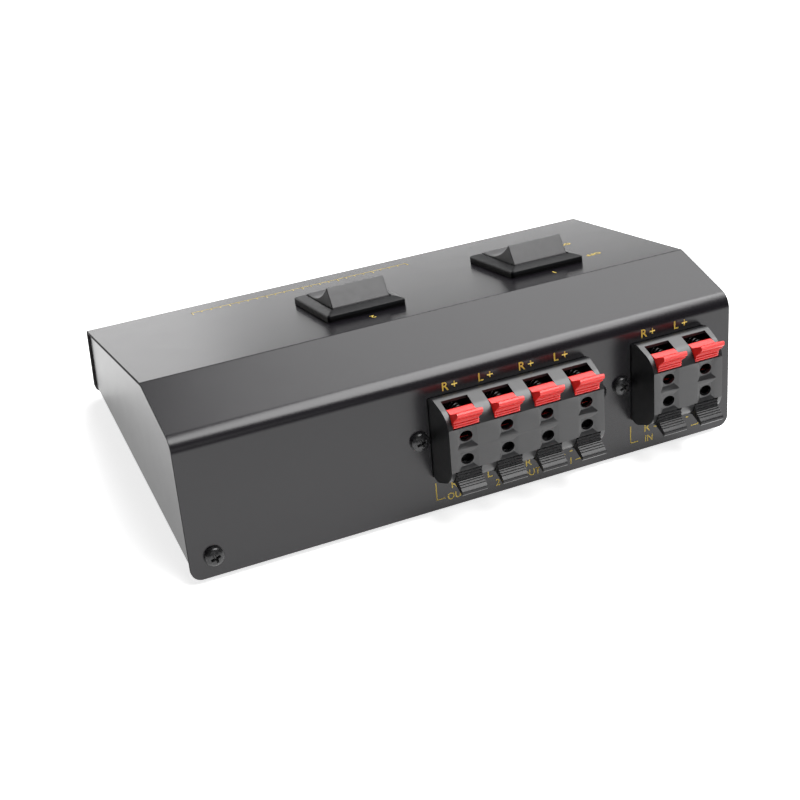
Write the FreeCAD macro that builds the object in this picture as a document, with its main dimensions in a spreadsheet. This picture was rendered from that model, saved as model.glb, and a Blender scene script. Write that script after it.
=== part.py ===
import FreeCAD, Part
import os
import re

import Sketcher

# Two-way loudspeaker selector box: a folded steel cover on a steel chassis, two rocker switches on
# the sloping top and two blocks of sprung push terminals on the leaning panel at the back.
#
# Frame, in millimetres: +Z up, +Y towards the terminals, +X to the left of someone who faces the
# terminals. The origin lies on the surface that the feet stand on, under the middle of the case.

SIZES = {
    # case
    "case_length": "170",
    "case_depth": "97",
    "front_height": "23",
    "panel_lean": "11",
    "panel_length": "41.4",
    "facet_rise": "6.5",
    "facet_length": "25.5",
    "cover_sheet": "1",
    "rear_bend_radius": "5",
    "ridge_bend_radius": "2",
    "front_bend_radius": "2",
    "cover_corner_radius": "4",
    # chassis
    "chassis_sheet": "1",
    "chassis_bend_radius": "3.5",
    "end_inset": "0.6",
    "cover_gap": "0.15",
    "tab_width": "13",
    "tab_height": "8.3",
    # feet
    "foot_height": "2",
    "foot_radius": "4.5",
    "foot_inset": "14",
    # screws
    "cover_screw_inset": "6.85",
    "cover_screw_rise": "6.24",
    "screw_head_radius": "2.75",
    "screw_head_height": "1.9",
    "screw_dome_radius": "0.9",
    "screw_shank_radius": "1.4",
    "screw_length": "6",
    "screw_hole_gap": "0.1",
    "cross_width": "0.8",
    "cross_length": "3.4",
    "cross_depth": "1.1",
    # terminal blocks
    "column_pitch": "12.5",
    "amplifier_block_inset": "21.6",
    "block_spacing": "51.95",
    "block_rise": "22.8",
    "block_height": "26",
    "block_depth": "11",
    "block_side_margin": "0.3",
    "block_draft": "3.5",
    "shoulder_start": "2",
    "knee_depth": "9.6",
    "knee_half_height": "10.1",
    "face_half_height": "6.4",
    "knee_radius": "4.5",
    "block_edge_radius": "0.5",
    "front_wall": "1.8",
    "ceiling_wall": "1.6",
    "window_width": "8",
    "window_back": "4",
    "wire_row_spacing": "6.9",
    "wire_hole_radius": "1.75",
    "funnel_size": "6",
    "funnel_depth": "0.9",
    "flange_thickness": "2",
    "flange_lip": "1.1",
    "ear_reach": "6.3",
    "ear_screw_reach": "3.1",
    "ear_height": "9",
    "cutout_gap": "0.25",
    "carrier_thickness": "1.6",
    "contact_width": "2.8",
    "contact_thickness": "0.5",
    "contact_offset": "2.35",
    "contact_nose_depth": "8.8",
    "solder_tab_length": "5",
    "slot_gap": "0.1",
    # levers
    "lever_width": "7.7",
    "lever_foot_gap": "0.15",
    "lever_foot_depth": "10.6",
    "lever_root_depth": "11.05",
    "lever_root_half": "9",
    "lever_tip_depth": "13.95",
    "lever_tip_half": "12",
    "lever_tip_thickness": "0.85",
    "lever_tip_round": "0.4",
    "lever_crease_depth": "9.35",
    "lever_crease_half": "10.45",
    "lever_ledge_depth": "7.6",
    "lever_ledge_half": "10.8",
    "lever_back_depth": "6.9",
    "lever_arm_depth": "7.2",
    "lever_arm_thickness": "1.1",
    "lever_arm_half": "3.4",
    "lever_pivot_depth": "8.3",
    "lever_pivot_half": "7.3",
    "trunnion_radius": "1",
    "trunnion_reach": "0.8",
    "running_gap": "0.05",
    "rib_height": "0.22",
    "spring_radius": "1.5",
    "spring_wire_radius": "0.2",
    "spring_offset": "9.4",
    "spring_pitch": "1.3",
    "seat_gap": "0.05",
    # rocker switches
    "switch_one_inset": "39.6",
    "switch_spacing": "59.4",
    "switch_one_run": "26.8",
    "bezel_width": "24.4",
    "bezel_length": "29.4",
    "bezel_height": "2.8",
    "bezel_bevel": "0.7",
    "switch_wall": "1.7",
    "switch_depth": "16",
    "switch_base_thickness": "2",
    "lug_reach": "0.9",
    "lug_length": "7",
    "lug_height": "3",
    "rocker_width": "18",
    "rocker_side_gap": "0.2",
    "rocker_end_gap": "0.35",
    "rocker_tilt": "16",
    "rocker_pivot_rise": "0.1",
    "rocker_half_length": "9.3",
    "rocker_peak": "6",
    "rocker_dip": "2.1",
    "rocker_skirt_half": "10.7",
    "rocker_skirt_drop": "0.3",
    "rocker_bottom_half": "9.6",
    "rocker_bottom_drop": "3.2",
    "rocker_pin_radius": "1.5",
    "rocker_pin_reach": "1",
    "plunger_offset": "4.5",
    "plunger_radius": "1.3",
    "plunger_reach": "11.2",
    "plunger_nose_radius": "0.9",
    "plunger_length": "7",
    "plunger_spring_radius": "0.9",
    "plunger_spring_wire": "0.18",
    "plunger_spring_pitch": "0.9",
    "boss_wall": "0.9",
    "boss_drop": "7.5",
    "bore_rise": "1.5",
    "seesaw_reach": "6.6",
    "seesaw_width": "3.4",
    "seesaw_thickness": "0.8",
    "seesaw_drop": "11.8",
    "seesaw_angle": "8",
    "seesaw_crease_radius": "1.2",
    "seesaw_groove_radius": "0.5",
    "blade_width": "4.6",
    "blade_thickness": "0.8",
    "blade_length": "8",
    "blade_gap": "0.08",
    "blade_spacing": "6",
    # internal wiring
    "wire_radius": "0.75",
    "wire_pair_offset": "1.2",
    "wire_drop": "4.5",
    "wire_low_drop": "7.5",
    "wire_lane": "4",
    "wire_rise_offset": "7",
    "wire_bus_lane": "3.5",
}

DERIVED = {
    "rear_bend_y": "=-panel_length * sin(panel_lean)",
    "rear_bend_z": "=panel_length * cos(panel_lean)",
    "ridge_y": "=rear_bend_y - facet_length * cos(facet_rise)",
    "ridge_z": "=rear_bend_z + facet_length * sin(facet_rise)",
    "top_slope": "=atan((ridge_z - front_height) / (case_depth + ridge_y)) / 1 deg",
    "chassis_half": "=case_length / 2 - end_inset",
    "amplifier_block_x": "=amplifier_block_inset - case_length / 2",
    "speaker_block_x": "=amplifier_block_x + block_spacing",
    "switch_one_x": "=switch_one_inset - case_length / 2",
    "switch_two_x": "=switch_one_x + switch_spacing",
    "switch_two_run": "=switch_one_run",
    "flange_back": "=-cover_sheet - flange_thickness",
    "carrier_back": "=flange_back - carrier_thickness",
    "inner_front": "=block_depth - front_wall",
    "ceiling_half": "=block_height / 2 - ceiling_wall",
    "saddle_radius": "=(rocker_half_length ^ 2 + rocker_dip ^ 2) / (2 * rocker_dip)",
    "opening_half_width": "=rocker_width / 2 + rocker_side_gap",
    "opening_half_length": "=rocker_skirt_half + rocker_end_gap",
    "switch_half_width": "=opening_half_width + switch_wall",
    "switch_half_length": "=opening_half_length + switch_wall",
}

BLOCKS = (("speaker", 4), ("amplifier", 2))
SIDES = (("red", 1), ("black", -1))
SWITCHES = ("one", "two")

document = FreeCAD.newDocument("SpeakerSelector")
sheet = document.addObject("Spreadsheet::Sheet", "Sizes")
for row, (name, text) in enumerate({**SIZES, **DERIVED}.items(), start=1):
    sheet.set(f"A{row}", name)
    sheet.set(f"B{row}", text)
    sheet.setAlias(f"B{row}", name)
document.recompute()

NAME = re.compile(r"[a-z]+(?:_[a-z]+)+")
finished = []


def size(name):
    """Value of one cell of the sheet."""
    return float(sheet.get(name))


def bound(text):
    """Expression text whose names point at the cells of the sheet."""
    return NAME.sub(lambda found: "Sizes." + found.group(), str(text))


def bind(piece, prop, text):
    piece.setExpression(prop, bound(text))


# ---------------------------------------------------------------- frames

class Frame:
    """A plane that pieces are laid out on: turned about X, with its origin on the case."""

    def __init__(self, y, z, angle):
        self.y = y
        self.z = z
        self.angle = angle

    def seat(self, piece, x="0", y="0", z="0", turn="0"):
        """Put a piece at a point of the frame, turned about X by a further angle."""
        piece.Placement = FreeCAD.Placement(FreeCAD.Vector(), FreeCAD.Rotation(FreeCAD.Vector(1, 0, 0), 1))
        bind(piece, "Placement.Base.x", x)
        bind(piece, "Placement.Base.y", f"{self.y} + ({y}) * cos({self.angle}) - ({z}) * sin({self.angle})")
        bind(piece, "Placement.Base.z", f"{self.z} + ({y}) * sin({self.angle}) + ({z}) * cos({self.angle})")
        bind(piece, "Placement.Rotation.Angle", f"({self.angle}) + ({turn})")
        return piece


CASE = Frame("case_depth / 2", "foot_height", "0")
PANEL = Frame("case_depth / 2", "foot_height", "panel_lean")
TOP = Frame("case_depth / 2 + ridge_y", "foot_height + ridge_z", "top_slope")


# ---------------------------------------------------------------- building blocks

def box(name, x, y, z):
    """Block between two limits along each axis."""
    piece = document.addObject("Part::Box", name)
    for prop, axis, (low, high) in zip(("Length", "Width", "Height"), "xyz", (x, y, z)):
        bind(piece, prop, f"({high}) - ({low})")
        bind(piece, f"Placement.Base.{axis}", low)
    return piece


TURNS = {
    "x": FreeCAD.Rotation(FreeCAD.Vector(0, 1, 0), 90),
    "y": FreeCAD.Rotation(FreeCAD.Vector(1, 0, 0), -90),
    "z": FreeCAD.Rotation(),
}


def aim(piece, axis, x, y, z):
    """Turn a piece that was made along Z, and move its start to a point."""
    piece.Placement = FreeCAD.Placement(FreeCAD.Vector(), TURNS[axis])
    for letter, text in zip("xyz", (x, y, z)):
        bind(piece, f"Placement.Base.{letter}", text)
    return piece


def rod(name, axis, radius, length, x="0", y="0", z="0"):
    """Cylinder that starts at a point and runs along an axis."""
    piece = document.addObject("Part::Cylinder", name)
    bind(piece, "Radius", radius)
    bind(piece, "Height", length)
    return aim(piece, axis, x, y, z)


def prism(name, outline, x, rounds=()):
    """Body with a closed outline of (Y, Z) corners, padded along X, some of its corners rounded."""
    body = document.addObject("PartDesign::Body", name)
    sketch = body.newObject("Sketcher::SketchObject", name + "_outline")
    plane = [feature for feature in body.Origin.OriginFeatures if feature.Role == "YZ_Plane"][0]
    sketch.AttachmentSupport = (plane, "")
    sketch.MapMode = "FlatFace"
    count = len(outline)
    ring = [FreeCAD.Rotation(FreeCAD.Vector(0, 0, 1), 360 * k / count).multVec(FreeCAD.Vector(9, 0, 0))
            for k in range(count)]
    for k in range(count):
        sketch.addGeometry(Part.LineSegment(ring[k], ring[(k + 1) % count]), False)
    for k in range(count):
        sketch.addConstraint(Sketcher.Constraint("Coincident", k, 2, (k + 1) % count, 1))
    for k, (y, z) in enumerate(outline):
        for kind, start, text in (("DistanceX", ring[k].x, y), ("DistanceY", ring[k].y, z)):
            index = sketch.addConstraint(Sketcher.Constraint(kind, -1, 1, k, 1, start))
            bind(sketch, f"Constraints[{index}]", text)
    pad = body.newObject("PartDesign::Pad", name + "_pad")
    pad.Profile = sketch
    bind(pad, "Length", f"({x[1]}) - ({x[0]})")
    bind(body, "Placement.Base.x", x[0])
    document.recompute()
    corners = [sketch.Geometry[k].StartPoint for k in range(count)]
    feature = pad
    for number, (radius, chosen) in enumerate(rounds):
        spots = [corners[k] for k in chosen]
        edges = [f"Edge{index}" for index, edge in enumerate(feature.Shape.Edges, start=1)
                 if along_x(edge) and at_corner(edge, spots)]
        fillet = body.newObject("PartDesign::Fillet", f"{name}_round_{number}")
        fillet.Base = (feature, edges)
        bind(fillet, "Radius", radius)
        feature = fillet
        document.recompute()
    body.Tip = feature
    return body


def along_x(edge):
    ends = edge.Vertexes
    return len(ends) == 2 and abs(ends[0].Y - ends[1].Y) < 1e-6 and abs(ends[0].Z - ends[1].Z) < 1e-6


def at_corner(edge, spots):
    point = edge.Vertexes[0].Point
    return any(abs(point.y - spot.x) < 1e-4 and abs(point.z - spot.y) < 1e-4 for spot in spots)


def joined(name, pieces):
    """Several pieces as one solid."""
    if len(pieces) == 1:
        return pieces[0]
    piece = document.addObject("Part::MultiFuse", name)
    piece.Shapes = pieces
    piece.Refine = True
    return piece


def cut(name, base, tools):
    """A piece with tools taken away from it."""
    piece = document.addObject("Part::Cut", name)
    piece.Base = base
    piece.Tool = joined(name + "_tools", tools)
    piece.Refine = True
    return piece


def group(name, pieces):
    """Separate solids that share one node."""
    piece = document.addObject("Part::Compound", name)
    piece.Links = pieces
    return piece


def rounded(name, base, radius, chosen):
    """A piece with the edges that a test picks rounded off."""
    document.recompute()
    piece = document.addObject("Part::Fillet", name)
    piece.Base = base
    amount = size(radius)
    piece.Edges = [(index, amount, amount) for index, edge in enumerate(base.Shape.Edges, start=1)
                   if chosen(edge)]
    return piece


def finish(piece, label):
    """Name a sub-part that is exported."""
    piece.Label = label
    finished.append(piece)
    return piece


def columns(count):
    """Offsets of a block's columns from its middle, in pitches."""
    return [(count - 1) / 2 - k for k in range(count)]


# ---------------------------------------------------------------- case

def case_outline(inset="0"):
    """Corners of the case's end, from the terminal panel over the top to the front, moved inwards."""
    panel, facet, top, front = "90 + panel_lean", "180 - facet_rise", "180 + top_slope", "270"
    bends = (("rear_bend_y", "rear_bend_z", panel, facet), ("ridge_y", "ridge_z", facet, top),
             ("-case_depth", "front_height", top, front))
    corners = [(f"-({inset}) / cos(panel_lean)", "0")]
    for y, z, before, after in bends:
        reach = f"({inset}) / cos((({after}) - ({before})) / 2)"
        middle = f"(({before}) + ({after})) / 2 + 90"
        corners.append((f"{y} + {reach} * cos({middle})", f"{z} + {reach} * sin({middle})"))
    corners.append((f"-case_depth + ({inset})", "0"))
    return corners


def case_form(name, inset, x):
    """Solid that fills the case's outline, moved inwards, between two limits along X."""
    return prism(name, case_outline(inset), x, ((f"rear_bend_radius - ({inset})", (1,)),
                                                (f"ridge_bend_radius - ({inset})", (2,)),
                                                (f"front_bend_radius - ({inset})", (3,))))


def end_edge(edge):
    """Edges across the sheet at the lower corners of the two lowest panels."""
    ends = edge.Vertexes
    if len(ends) != 2:
        return False
    sheet = size("cover_sheet")
    low = max(ends[0].Z, ends[1].Z) < sheet / 2
    across = sheet / 2 < edge.Length < 3 * sheet / 2
    return low and across and abs(ends[0].X - ends[1].X) < 1e-6


def screw_spots():
    """The case screws: name, frame, and the point where each meets the outside of its panel."""
    reach = "case_length / 2 - cover_screw_inset"
    spots = []
    for side, sign in (("left", "1"), ("right", "-1")):
        spots.append((f"rear_{side}", PANEL, f"{sign} * ({reach})", "0", "cover_screw_rise", 1))
        spots.append((f"front_{side}", CASE, f"{sign} * ({reach})", "-case_depth", "cover_screw_rise", -1))
    return spots


def block_screw_spots(block, count):
    """X of the two screws beside a terminal block."""
    reach = f"({count} * column_pitch / 2 + ear_screw_reach)"
    return [f"{block}_block_x + {reach}", f"{block}_block_x - {reach}"]


def make_cover():
    """One sheet folded over front, top, rear facet and terminal panel."""
    outside = case_form("cover_outside", "0", ("-case_length / 2", "case_length / 2"))
    inside = case_form("cover_inside", "cover_sheet", ("-case_length", "case_length"))
    folded = rounded("cover_folded", cut("cover_sheet_form", outside, [inside]), "cover_corner_radius",
                     end_edge)
    tools = []
    for name, frame, x, y, z, _ in screw_spots():
        hole = rod(f"cover_hole_{name}", "y", "screw_shank_radius + screw_hole_gap",
                   "6 * cover_sheet", "0", "-3 * cover_sheet", "0")
        tools.append(placed(hole, case_local(frame), x, y, z))
    for block, count in BLOCKS:
        half = f"({count} * column_pitch / 2 - block_side_margin + cutout_gap)"
        window = box(f"{block}_cutout", (f"-{half}", half), ("-3 * cover_sheet", "3 * cover_sheet"),
                     ("-block_height / 2 - cutout_gap", "block_height / 2 + cutout_gap"))
        tools.append(placed(window, case_local(PANEL), f"{block}_block_x", "0", "block_rise"))
        for number, x in enumerate(block_screw_spots(block, count)):
            hole = rod(f"{block}_cover_hole_{number}", "y", "screw_shank_radius + screw_hole_gap",
                       "6 * cover_sheet", "0", "-3 * cover_sheet", "0")
            tools.append(placed(hole, case_local(PANEL), x, "0", "block_rise"))
    for switch in SWITCHES:
        window = box(f"switch_{switch}_cutout",
                     ("-switch_half_width - cutout_gap", "switch_half_width + cutout_gap"),
                     ("-switch_half_length - cutout_gap", "switch_half_length + cutout_gap"),
                     ("-3 * cover_sheet", "3 * cover_sheet"))
        tools.append(placed(window, case_local(TOP), f"switch_{switch}_x", f"-switch_{switch}_run", "0"))
    return finish(CASE.seat(cut("cover", folded, tools)), "top_cover")


def case_local(frame):
    """The same frame as seen from the case's own frame."""
    if frame is TOP:
        return Frame("ridge_y", "ridge_z", frame.angle)
    return Frame("0", "0", frame.angle)


def placed(piece, frame, x, y, z):
    """Put a tool that was made about the origin at a point of a frame, inside a wrapper of its own."""
    holder = group(piece.Name + "_held", [piece])
    return frame.seat(holder, x, y, z)


def chassis_bends(inside):
    """Fillers inside and cutters outside that turn floor and end plates into one bent sheet."""
    fillers = []
    cutters = []
    centre = "chassis_half - chassis_bend_radius"
    for side, sign in (("left", ""), ("right", "-")):
        for kind, far, z, radius, pieces in (
                ("filler", "chassis_half - chassis_sheet", ("chassis_sheet", "chassis_bend_radius"),
                 "chassis_bend_radius - chassis_sheet", fillers),
                ("cutter", "chassis_half + chassis_sheet", ("-chassis_sheet", "chassis_bend_radius"),
                 "chassis_bend_radius", cutters)):
            x = (centre, far) if sign == "" else (f"-({far})", f"-({centre})")
            name = f"bend_{kind}_{side}"
            edge = f"({inside}) / cos(panel_lean) + chassis_bend_radius * tan(panel_lean)"
            y = (f"-case_depth + {inside}", f"-({edge})") if kind == "filler" else ("-case_depth", "0")
            core = rod(f"{name}_core", "y", radius, "2 * case_depth", f"{sign}({centre})",
                       "-3 * case_depth / 2", "chassis_bend_radius")
            pieces.append(cut(name, box(f"{name}_block", x, y, z), [core]))
    return fillers, cutters


def make_chassis():
    """Floor bent up into two end plates that fill the cover's ends, and tabs for the cover's screws."""
    inside = "cover_sheet + cover_gap"
    plates = [case_form("end_plate_left", inside, ("chassis_half - chassis_sheet", "chassis_half")),
              case_form("end_plate_right", inside, ("-chassis_half", "-chassis_half + chassis_sheet"))]
    floor_end = f"-({inside}) / cos(panel_lean) - chassis_sheet * tan(panel_lean)"
    floor = box("floor", ("-chassis_half", "chassis_half"), (f"-case_depth + {inside}", floor_end),
                ("0", "chassis_sheet"))
    fillers, cutters = chassis_bends(inside)
    tabs = []
    holes = []
    for name, frame, x, y, z, facing in screw_spots():
        inner = f"{-facing} * ({inside} + chassis_sheet)"
        outer = f"{-facing} * ({inside})"
        deep = (inner, outer) if facing > 0 else (outer, inner)
        local = case_local(frame)
        tab = box(f"tab_{name}", ("-tab_width / 2", "tab_width / 2"), deep,
                  ("chassis_sheet / 2", "tab_height"))
        outward = "-1" if "right" in name else "1"
        shift = f"{outward} * (chassis_half - tab_width / 2)"
        tabs.append(placed(tab, local, shift, y, "0"))
        hole = rod(f"tab_hole_{name}", "y", "screw_shank_radius + running_gap", "12 * chassis_sheet",
                   "0", "-6 * chassis_sheet", "0")
        holes.append(placed(hole, local, x, y, z))
    body = joined("chassis_plates", plates + [floor] + fillers + tabs)
    return finish(CASE.seat(cut("chassis", body, cutters + holes)), "chassis_base")


def make_feet():
    feet = []
    for x in ("-1", "1"):
        for y in ("foot_inset - case_depth / 2", "case_depth / 2 - foot_inset"):
            foot = document.addObject("Part::Cone", f"foot_{len(feet)}")
            bind(foot, "Radius1", "foot_radius - foot_height / 4")
            bind(foot, "Radius2", "foot_radius")
            bind(foot, "Height", "foot_height")
            bind(foot, "Placement.Base.x", f"{x} * (case_length / 2 - foot_inset)")
            bind(foot, "Placement.Base.y", y)
            feet.append(foot)
    return finish(group("feet", feet), "rubber_feet")


def screw(name, length):
    """Pan-head screw with a cross recess; its head stands on the plane Y = 0 and looks along +Y."""
    head = rod(name + "_head", "y", "screw_head_radius", "screw_head_height")
    dome = rounded(name + "_dome", head, "screw_dome_radius",
                   lambda edge: edge.Closed and edge.Vertexes[0].Y > 1e-3)
    shank = rod(name + "_shank", "y", "screw_shank_radius", length, "0", f"-({length})", "0")
    deep = ("screw_head_height - cross_depth", "2 * screw_head_height")
    long = ("-cross_length / 2", "cross_length / 2")
    thin = ("-cross_width / 2", "cross_width / 2")
    slots = [box(name + "_slot_x", long, deep, thin), box(name + "_slot_z", thin, deep, long)]
    return cut(name, joined(name + "_whole", [dome, shank]), slots)


def make_case_screws():
    """The four screws that hold the cover on the chassis."""
    screws = []
    for name, frame, x, y, z, facing in screw_spots():
        piece = screw(f"case_screw_{name}", "screw_length")
        screws.append(frame.seat(piece, x, y, z, "0" if facing > 0 else "180"))
    return finish(group("case_screws", screws), "cover_screws")


def make_block_screws():
    """The four screws that hold the terminal blocks' flanges behind the panel."""
    screws = []
    for block, count in BLOCKS:
        for number, x in enumerate(block_screw_spots(block, count)):
            piece = screw(f"{block}_screw_{number}", "cover_sheet + flange_thickness + 1")
            screws.append(PANEL.seat(piece, x, "0", "block_rise"))
    return finish(group("block_screws", screws), "terminal_screws")


# ---------------------------------------------------------------- terminal blocks

def make_housing(block, count):
    """Moulded block with a hollow for each column, a window for each lever and a hole for each wire."""
    half_height = "block_height / 2"
    outline = [("flange_back", f"-{half_height}"), ("shoulder_start", f"-{half_height}"),
               ("knee_depth", "-knee_half_height"), ("block_depth", "-face_half_height"),
               ("block_depth", "face_half_height"), ("knee_depth", "knee_half_height"),
               ("shoulder_start", half_height), ("flange_back", half_height)]
    width = f"({count} * column_pitch - 2 * block_side_margin)"
    form = prism(f"{block}_form", outline, (f"-{width} / 2 - 2", f"{width} / 2 + 2"),
                 (("knee_radius", (2, 5)),))
    taper = document.addObject("Part::Wedge", f"{block}_taper")
    sides = {"Xmin": "flange_back", "X2min": "block_depth"}
    for prop, depth in sides.items():
        bind(taper, prop, f"-{width} / 2 + ({depth}) * tan(block_draft)")
        bind(taper, prop.replace("min", "max"), f"{width} / 2 - ({depth}) * tan(block_draft)")
    bind(taper, "Ymin", "flange_back")
    bind(taper, "Ymax", "block_depth")
    for prop in ("Zmin", "Z2min"):
        bind(taper, prop, "-block_height")
        bind(taper, prop.replace("min", "max"), "block_height")
    shaped = document.addObject("Part::MultiCommon", f"{block}_shaped")
    shaped.Shapes = [form, taper]
    soft = rounded(f"{block}_soft", shaped, "block_edge_radius",
                   lambda edge: edge.BoundBox.YMin > 0.5 * size("shoulder_start"))
    ears = "({0} * column_pitch / 2 + ear_reach)".format(count)
    flange = box(f"{block}_flange", (f"-{width} / 2 - flange_lip", f"{width} / 2 + flange_lip"),
                 ("flange_back", "-cover_sheet"),
                 (f"-{half_height} - flange_lip", f"{half_height} + flange_lip"))
    ear = box(f"{block}_ears", (f"-{ears}", ears), ("flange_back", "-cover_sheet"),
              ("-ear_height / 2", "ear_height / 2"))
    solid = joined(f"{block}_solid", [soft, flange, ear])
    tools = []
    for number, offset in enumerate(columns(count)):
        middle = f"{offset} * column_pitch"
        tools += column_tools(f"{block}_column_{number}", middle)
    for sign in (1, -1):
        tools.append(rod(f"{block}_ear_hole_{sign + 1}", "y", "screw_shank_radius + running_gap",
                         "4 * flange_thickness",
                         f"{sign} * ({count} * column_pitch / 2 + ear_screw_reach)", "-3 * flange_thickness",
                         "0"))
    housing = cut(f"{block}_housing", solid, tools)
    PANEL.seat(housing, f"{block}_block_x", "0", "block_rise")
    return finish(housing, f"{block}_terminal_housing")


def column_tools(name, middle):
    """What one column takes out of its block: hollow and windows, wire holes, funnels, pivot sockets."""
    beyond = "block_height / 2 + 1"
    front = "block_depth + 1"
    rear = "flange_back - 1"
    outline = [(rear, "-ceiling_half"), ("window_back", "-ceiling_half"), ("window_back", f"-({beyond})"),
               (front, f"-({beyond})"), (front, "-face_half_height"), ("inner_front", "-face_half_height"),
               ("inner_front", "face_half_height"), (front, "face_half_height"), (front, beyond),
               ("window_back", beyond), ("window_back", "ceiling_half"), (rear, "ceiling_half")]
    tools = [prism(name + "_hollow", outline,
                   (f"{middle} - window_width / 2", f"{middle} + window_width / 2"))]
    for sign in (1, -1):
        row = f"{sign} * wire_row_spacing / 2"
        tools.append(rod(f"{name}_wire_hole_{sign + 1}", "y", "wire_hole_radius", "2 * front_wall", middle,
                         "inner_front - front_wall / 2", row))
        funnel = document.addObject("Part::Wedge", f"{name}_funnel_{sign + 1}")
        bind(funnel, "Ymin", "block_depth - funnel_depth")
        bind(funnel, "Ymax", "block_depth")
        for prop, centre in (("X", middle), ("Z", row)):
            bind(funnel, f"{prop}min", f"{centre} - wire_hole_radius")
            bind(funnel, f"{prop}max", f"{centre} + wire_hole_radius")
            bind(funnel, f"{prop}2min", f"{centre} - funnel_size / 2")
            bind(funnel, f"{prop}2max", f"{centre} + funnel_size / 2")
        tools.append(funnel)
        tools.append(rod(f"{name}_socket_{sign + 1}", "x", "trunnion_radius + running_gap",
                         "window_width + 2 * (trunnion_reach + running_gap)",
                         f"{middle} - window_width / 2 - trunnion_reach - running_gap",
                         "lever_pivot_depth", f"{sign} * lever_pivot_half"))
    return tools


def make_carrier(block, count):
    """Plate that closes the back of a block and carries its contacts."""
    width = f"({count} * column_pitch - 2 * block_side_margin)"
    plate = box(f"{block}_plate", (f"-{width} / 2", f"{width} / 2"), ("carrier_back", "flange_back"),
                ("-block_height / 2", "block_height / 2"))
    slots = []
    for number, offset in enumerate(columns(count)):
        for sign in (1, -1):
            row = f"{sign} * contact_offset"
            half_width = "(contact_width / 2 + slot_gap)"
            half_thickness = "(contact_thickness / 2 + slot_gap)"
            slots.append(box(f"{block}_slot_{number}_{sign + 1}",
                             (f"{offset} * column_pitch - {half_width}",
                              f"{offset} * column_pitch + {half_width}"),
                             ("carrier_back - 1", "flange_back + 1"),
                             (f"{row} - {half_thickness}", f"{row} + {half_thickness}")))
    carrier = cut(f"{block}_carrier", plate, slots)
    PANEL.seat(carrier, f"{block}_block_x", "0", "block_rise")
    return finish(carrier, f"{block}_contact_carrier")


def make_contacts(block, count):
    """Spring-metal strips, each from its solder tab to a turned-up nose behind its wire hole."""
    strips = []
    low = "contact_offset - contact_thickness / 2"
    high = "contact_offset + contact_thickness / 2"
    for number, offset in enumerate(columns(count)):
        for sign in (1, -1):
            outline = [("carrier_back - solder_tab_length", f"{sign} * ({low})"),
                       ("contact_nose_depth - contact_thickness", f"{sign} * ({low})"),
                       ("contact_nose_depth", f"{sign} * ({high})"),
                       ("contact_nose_depth - contact_thickness", f"{sign} * ({high})"),
                       ("carrier_back - solder_tab_length", f"{sign} * ({high})")]
            middle = f"{offset} * column_pitch"
            strips.append(prism(f"{block}_contact_{number}_{sign + 1}", outline,
                                (f"{middle} - contact_width / 2", f"{middle} + contact_width / 2")))
    contacts = group(f"{block}_contact_strips", strips)
    PANEL.seat(contacts, f"{block}_block_x", "0", "block_rise")
    return finish(contacts, f"{block}_contacts")


# rise and fall of one rib, as shares of its pitch
RIB = ((0.3, 0), (0.45, 1), (0.85, 1), (1, 0))


def ribs(start, end, count, pitches, lift):
    """Corners of the ribs between two corners of a lever's face, each raised the way the face looks."""
    corners = []
    for rib in range(count):
        for share, raised in RIB:
            along = (rib + share) / pitches
            corners.append(tuple(
                f"{first} + (({last}) - ({first})) * {along:.4f} + rib_height * {raised * way}"
                for first, last, way in zip(start, end, lift)))
    return corners


def lever_outline(sign):
    """Corners of a lever's side: foot, ribbed face, thumb tip, ledge, back and clamping arm."""
    foot = ("lever_foot_depth", "face_half_height + lever_foot_gap")
    root = ("lever_root_depth", "lever_root_half")
    under = ("lever_tip_depth", "lever_tip_half - lever_tip_thickness")
    arm_back = "lever_arm_depth - lever_arm_thickness"
    arm_root = "face_half_height - lever_arm_thickness"
    points = [foot, *ribs(foot, root, 3, 3, (1, -0.2)), *ribs(root, under, 4, 4.5, (0.6, -0.8)), under,
              ("lever_tip_depth", "lever_tip_half"),
              ("lever_tip_depth - lever_tip_round", "lever_tip_half + lever_tip_round"),
              ("lever_crease_depth", "lever_crease_half"), ("lever_ledge_depth", "lever_ledge_half"),
              ("lever_back_depth", "lever_ledge_half"),
              ("lever_back_depth", "lever_pivot_half - 1.5 * trunnion_radius"), (arm_back, arm_root),
              ("lever_arm_depth - lever_arm_thickness / 2", "lever_arm_half"),
              ("lever_arm_depth + lever_arm_thickness / 4", "lever_arm_half"),
              ("lever_arm_depth + lever_arm_thickness / 2", arm_root),
              ("inner_front - lever_foot_gap", foot[1])]
    return [(depth, f"{sign} * ({half})") for depth, half in points]


def make_lever(block, number, offset, colour, sign):
    """Push lever with the trunnions that it turns on."""
    name = f"{block}_{colour}_lever_{number + 1}"
    blade = prism(name + "_blade", lever_outline(sign), ("-lever_width / 2", "lever_width / 2"))
    pin_half = "(window_width / 2 + trunnion_reach)"
    pin = rod(name + "_pin", "x", "trunnion_radius", f"2 * {pin_half}", f"-{pin_half}",
              "lever_pivot_depth", f"{sign} * lever_pivot_half")
    lever = joined(name + "_solid", [blade, pin])
    PANEL.seat(lever, f"{block}_block_x + {offset} * column_pitch", "0", "block_rise")
    return finish(lever, name)


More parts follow.
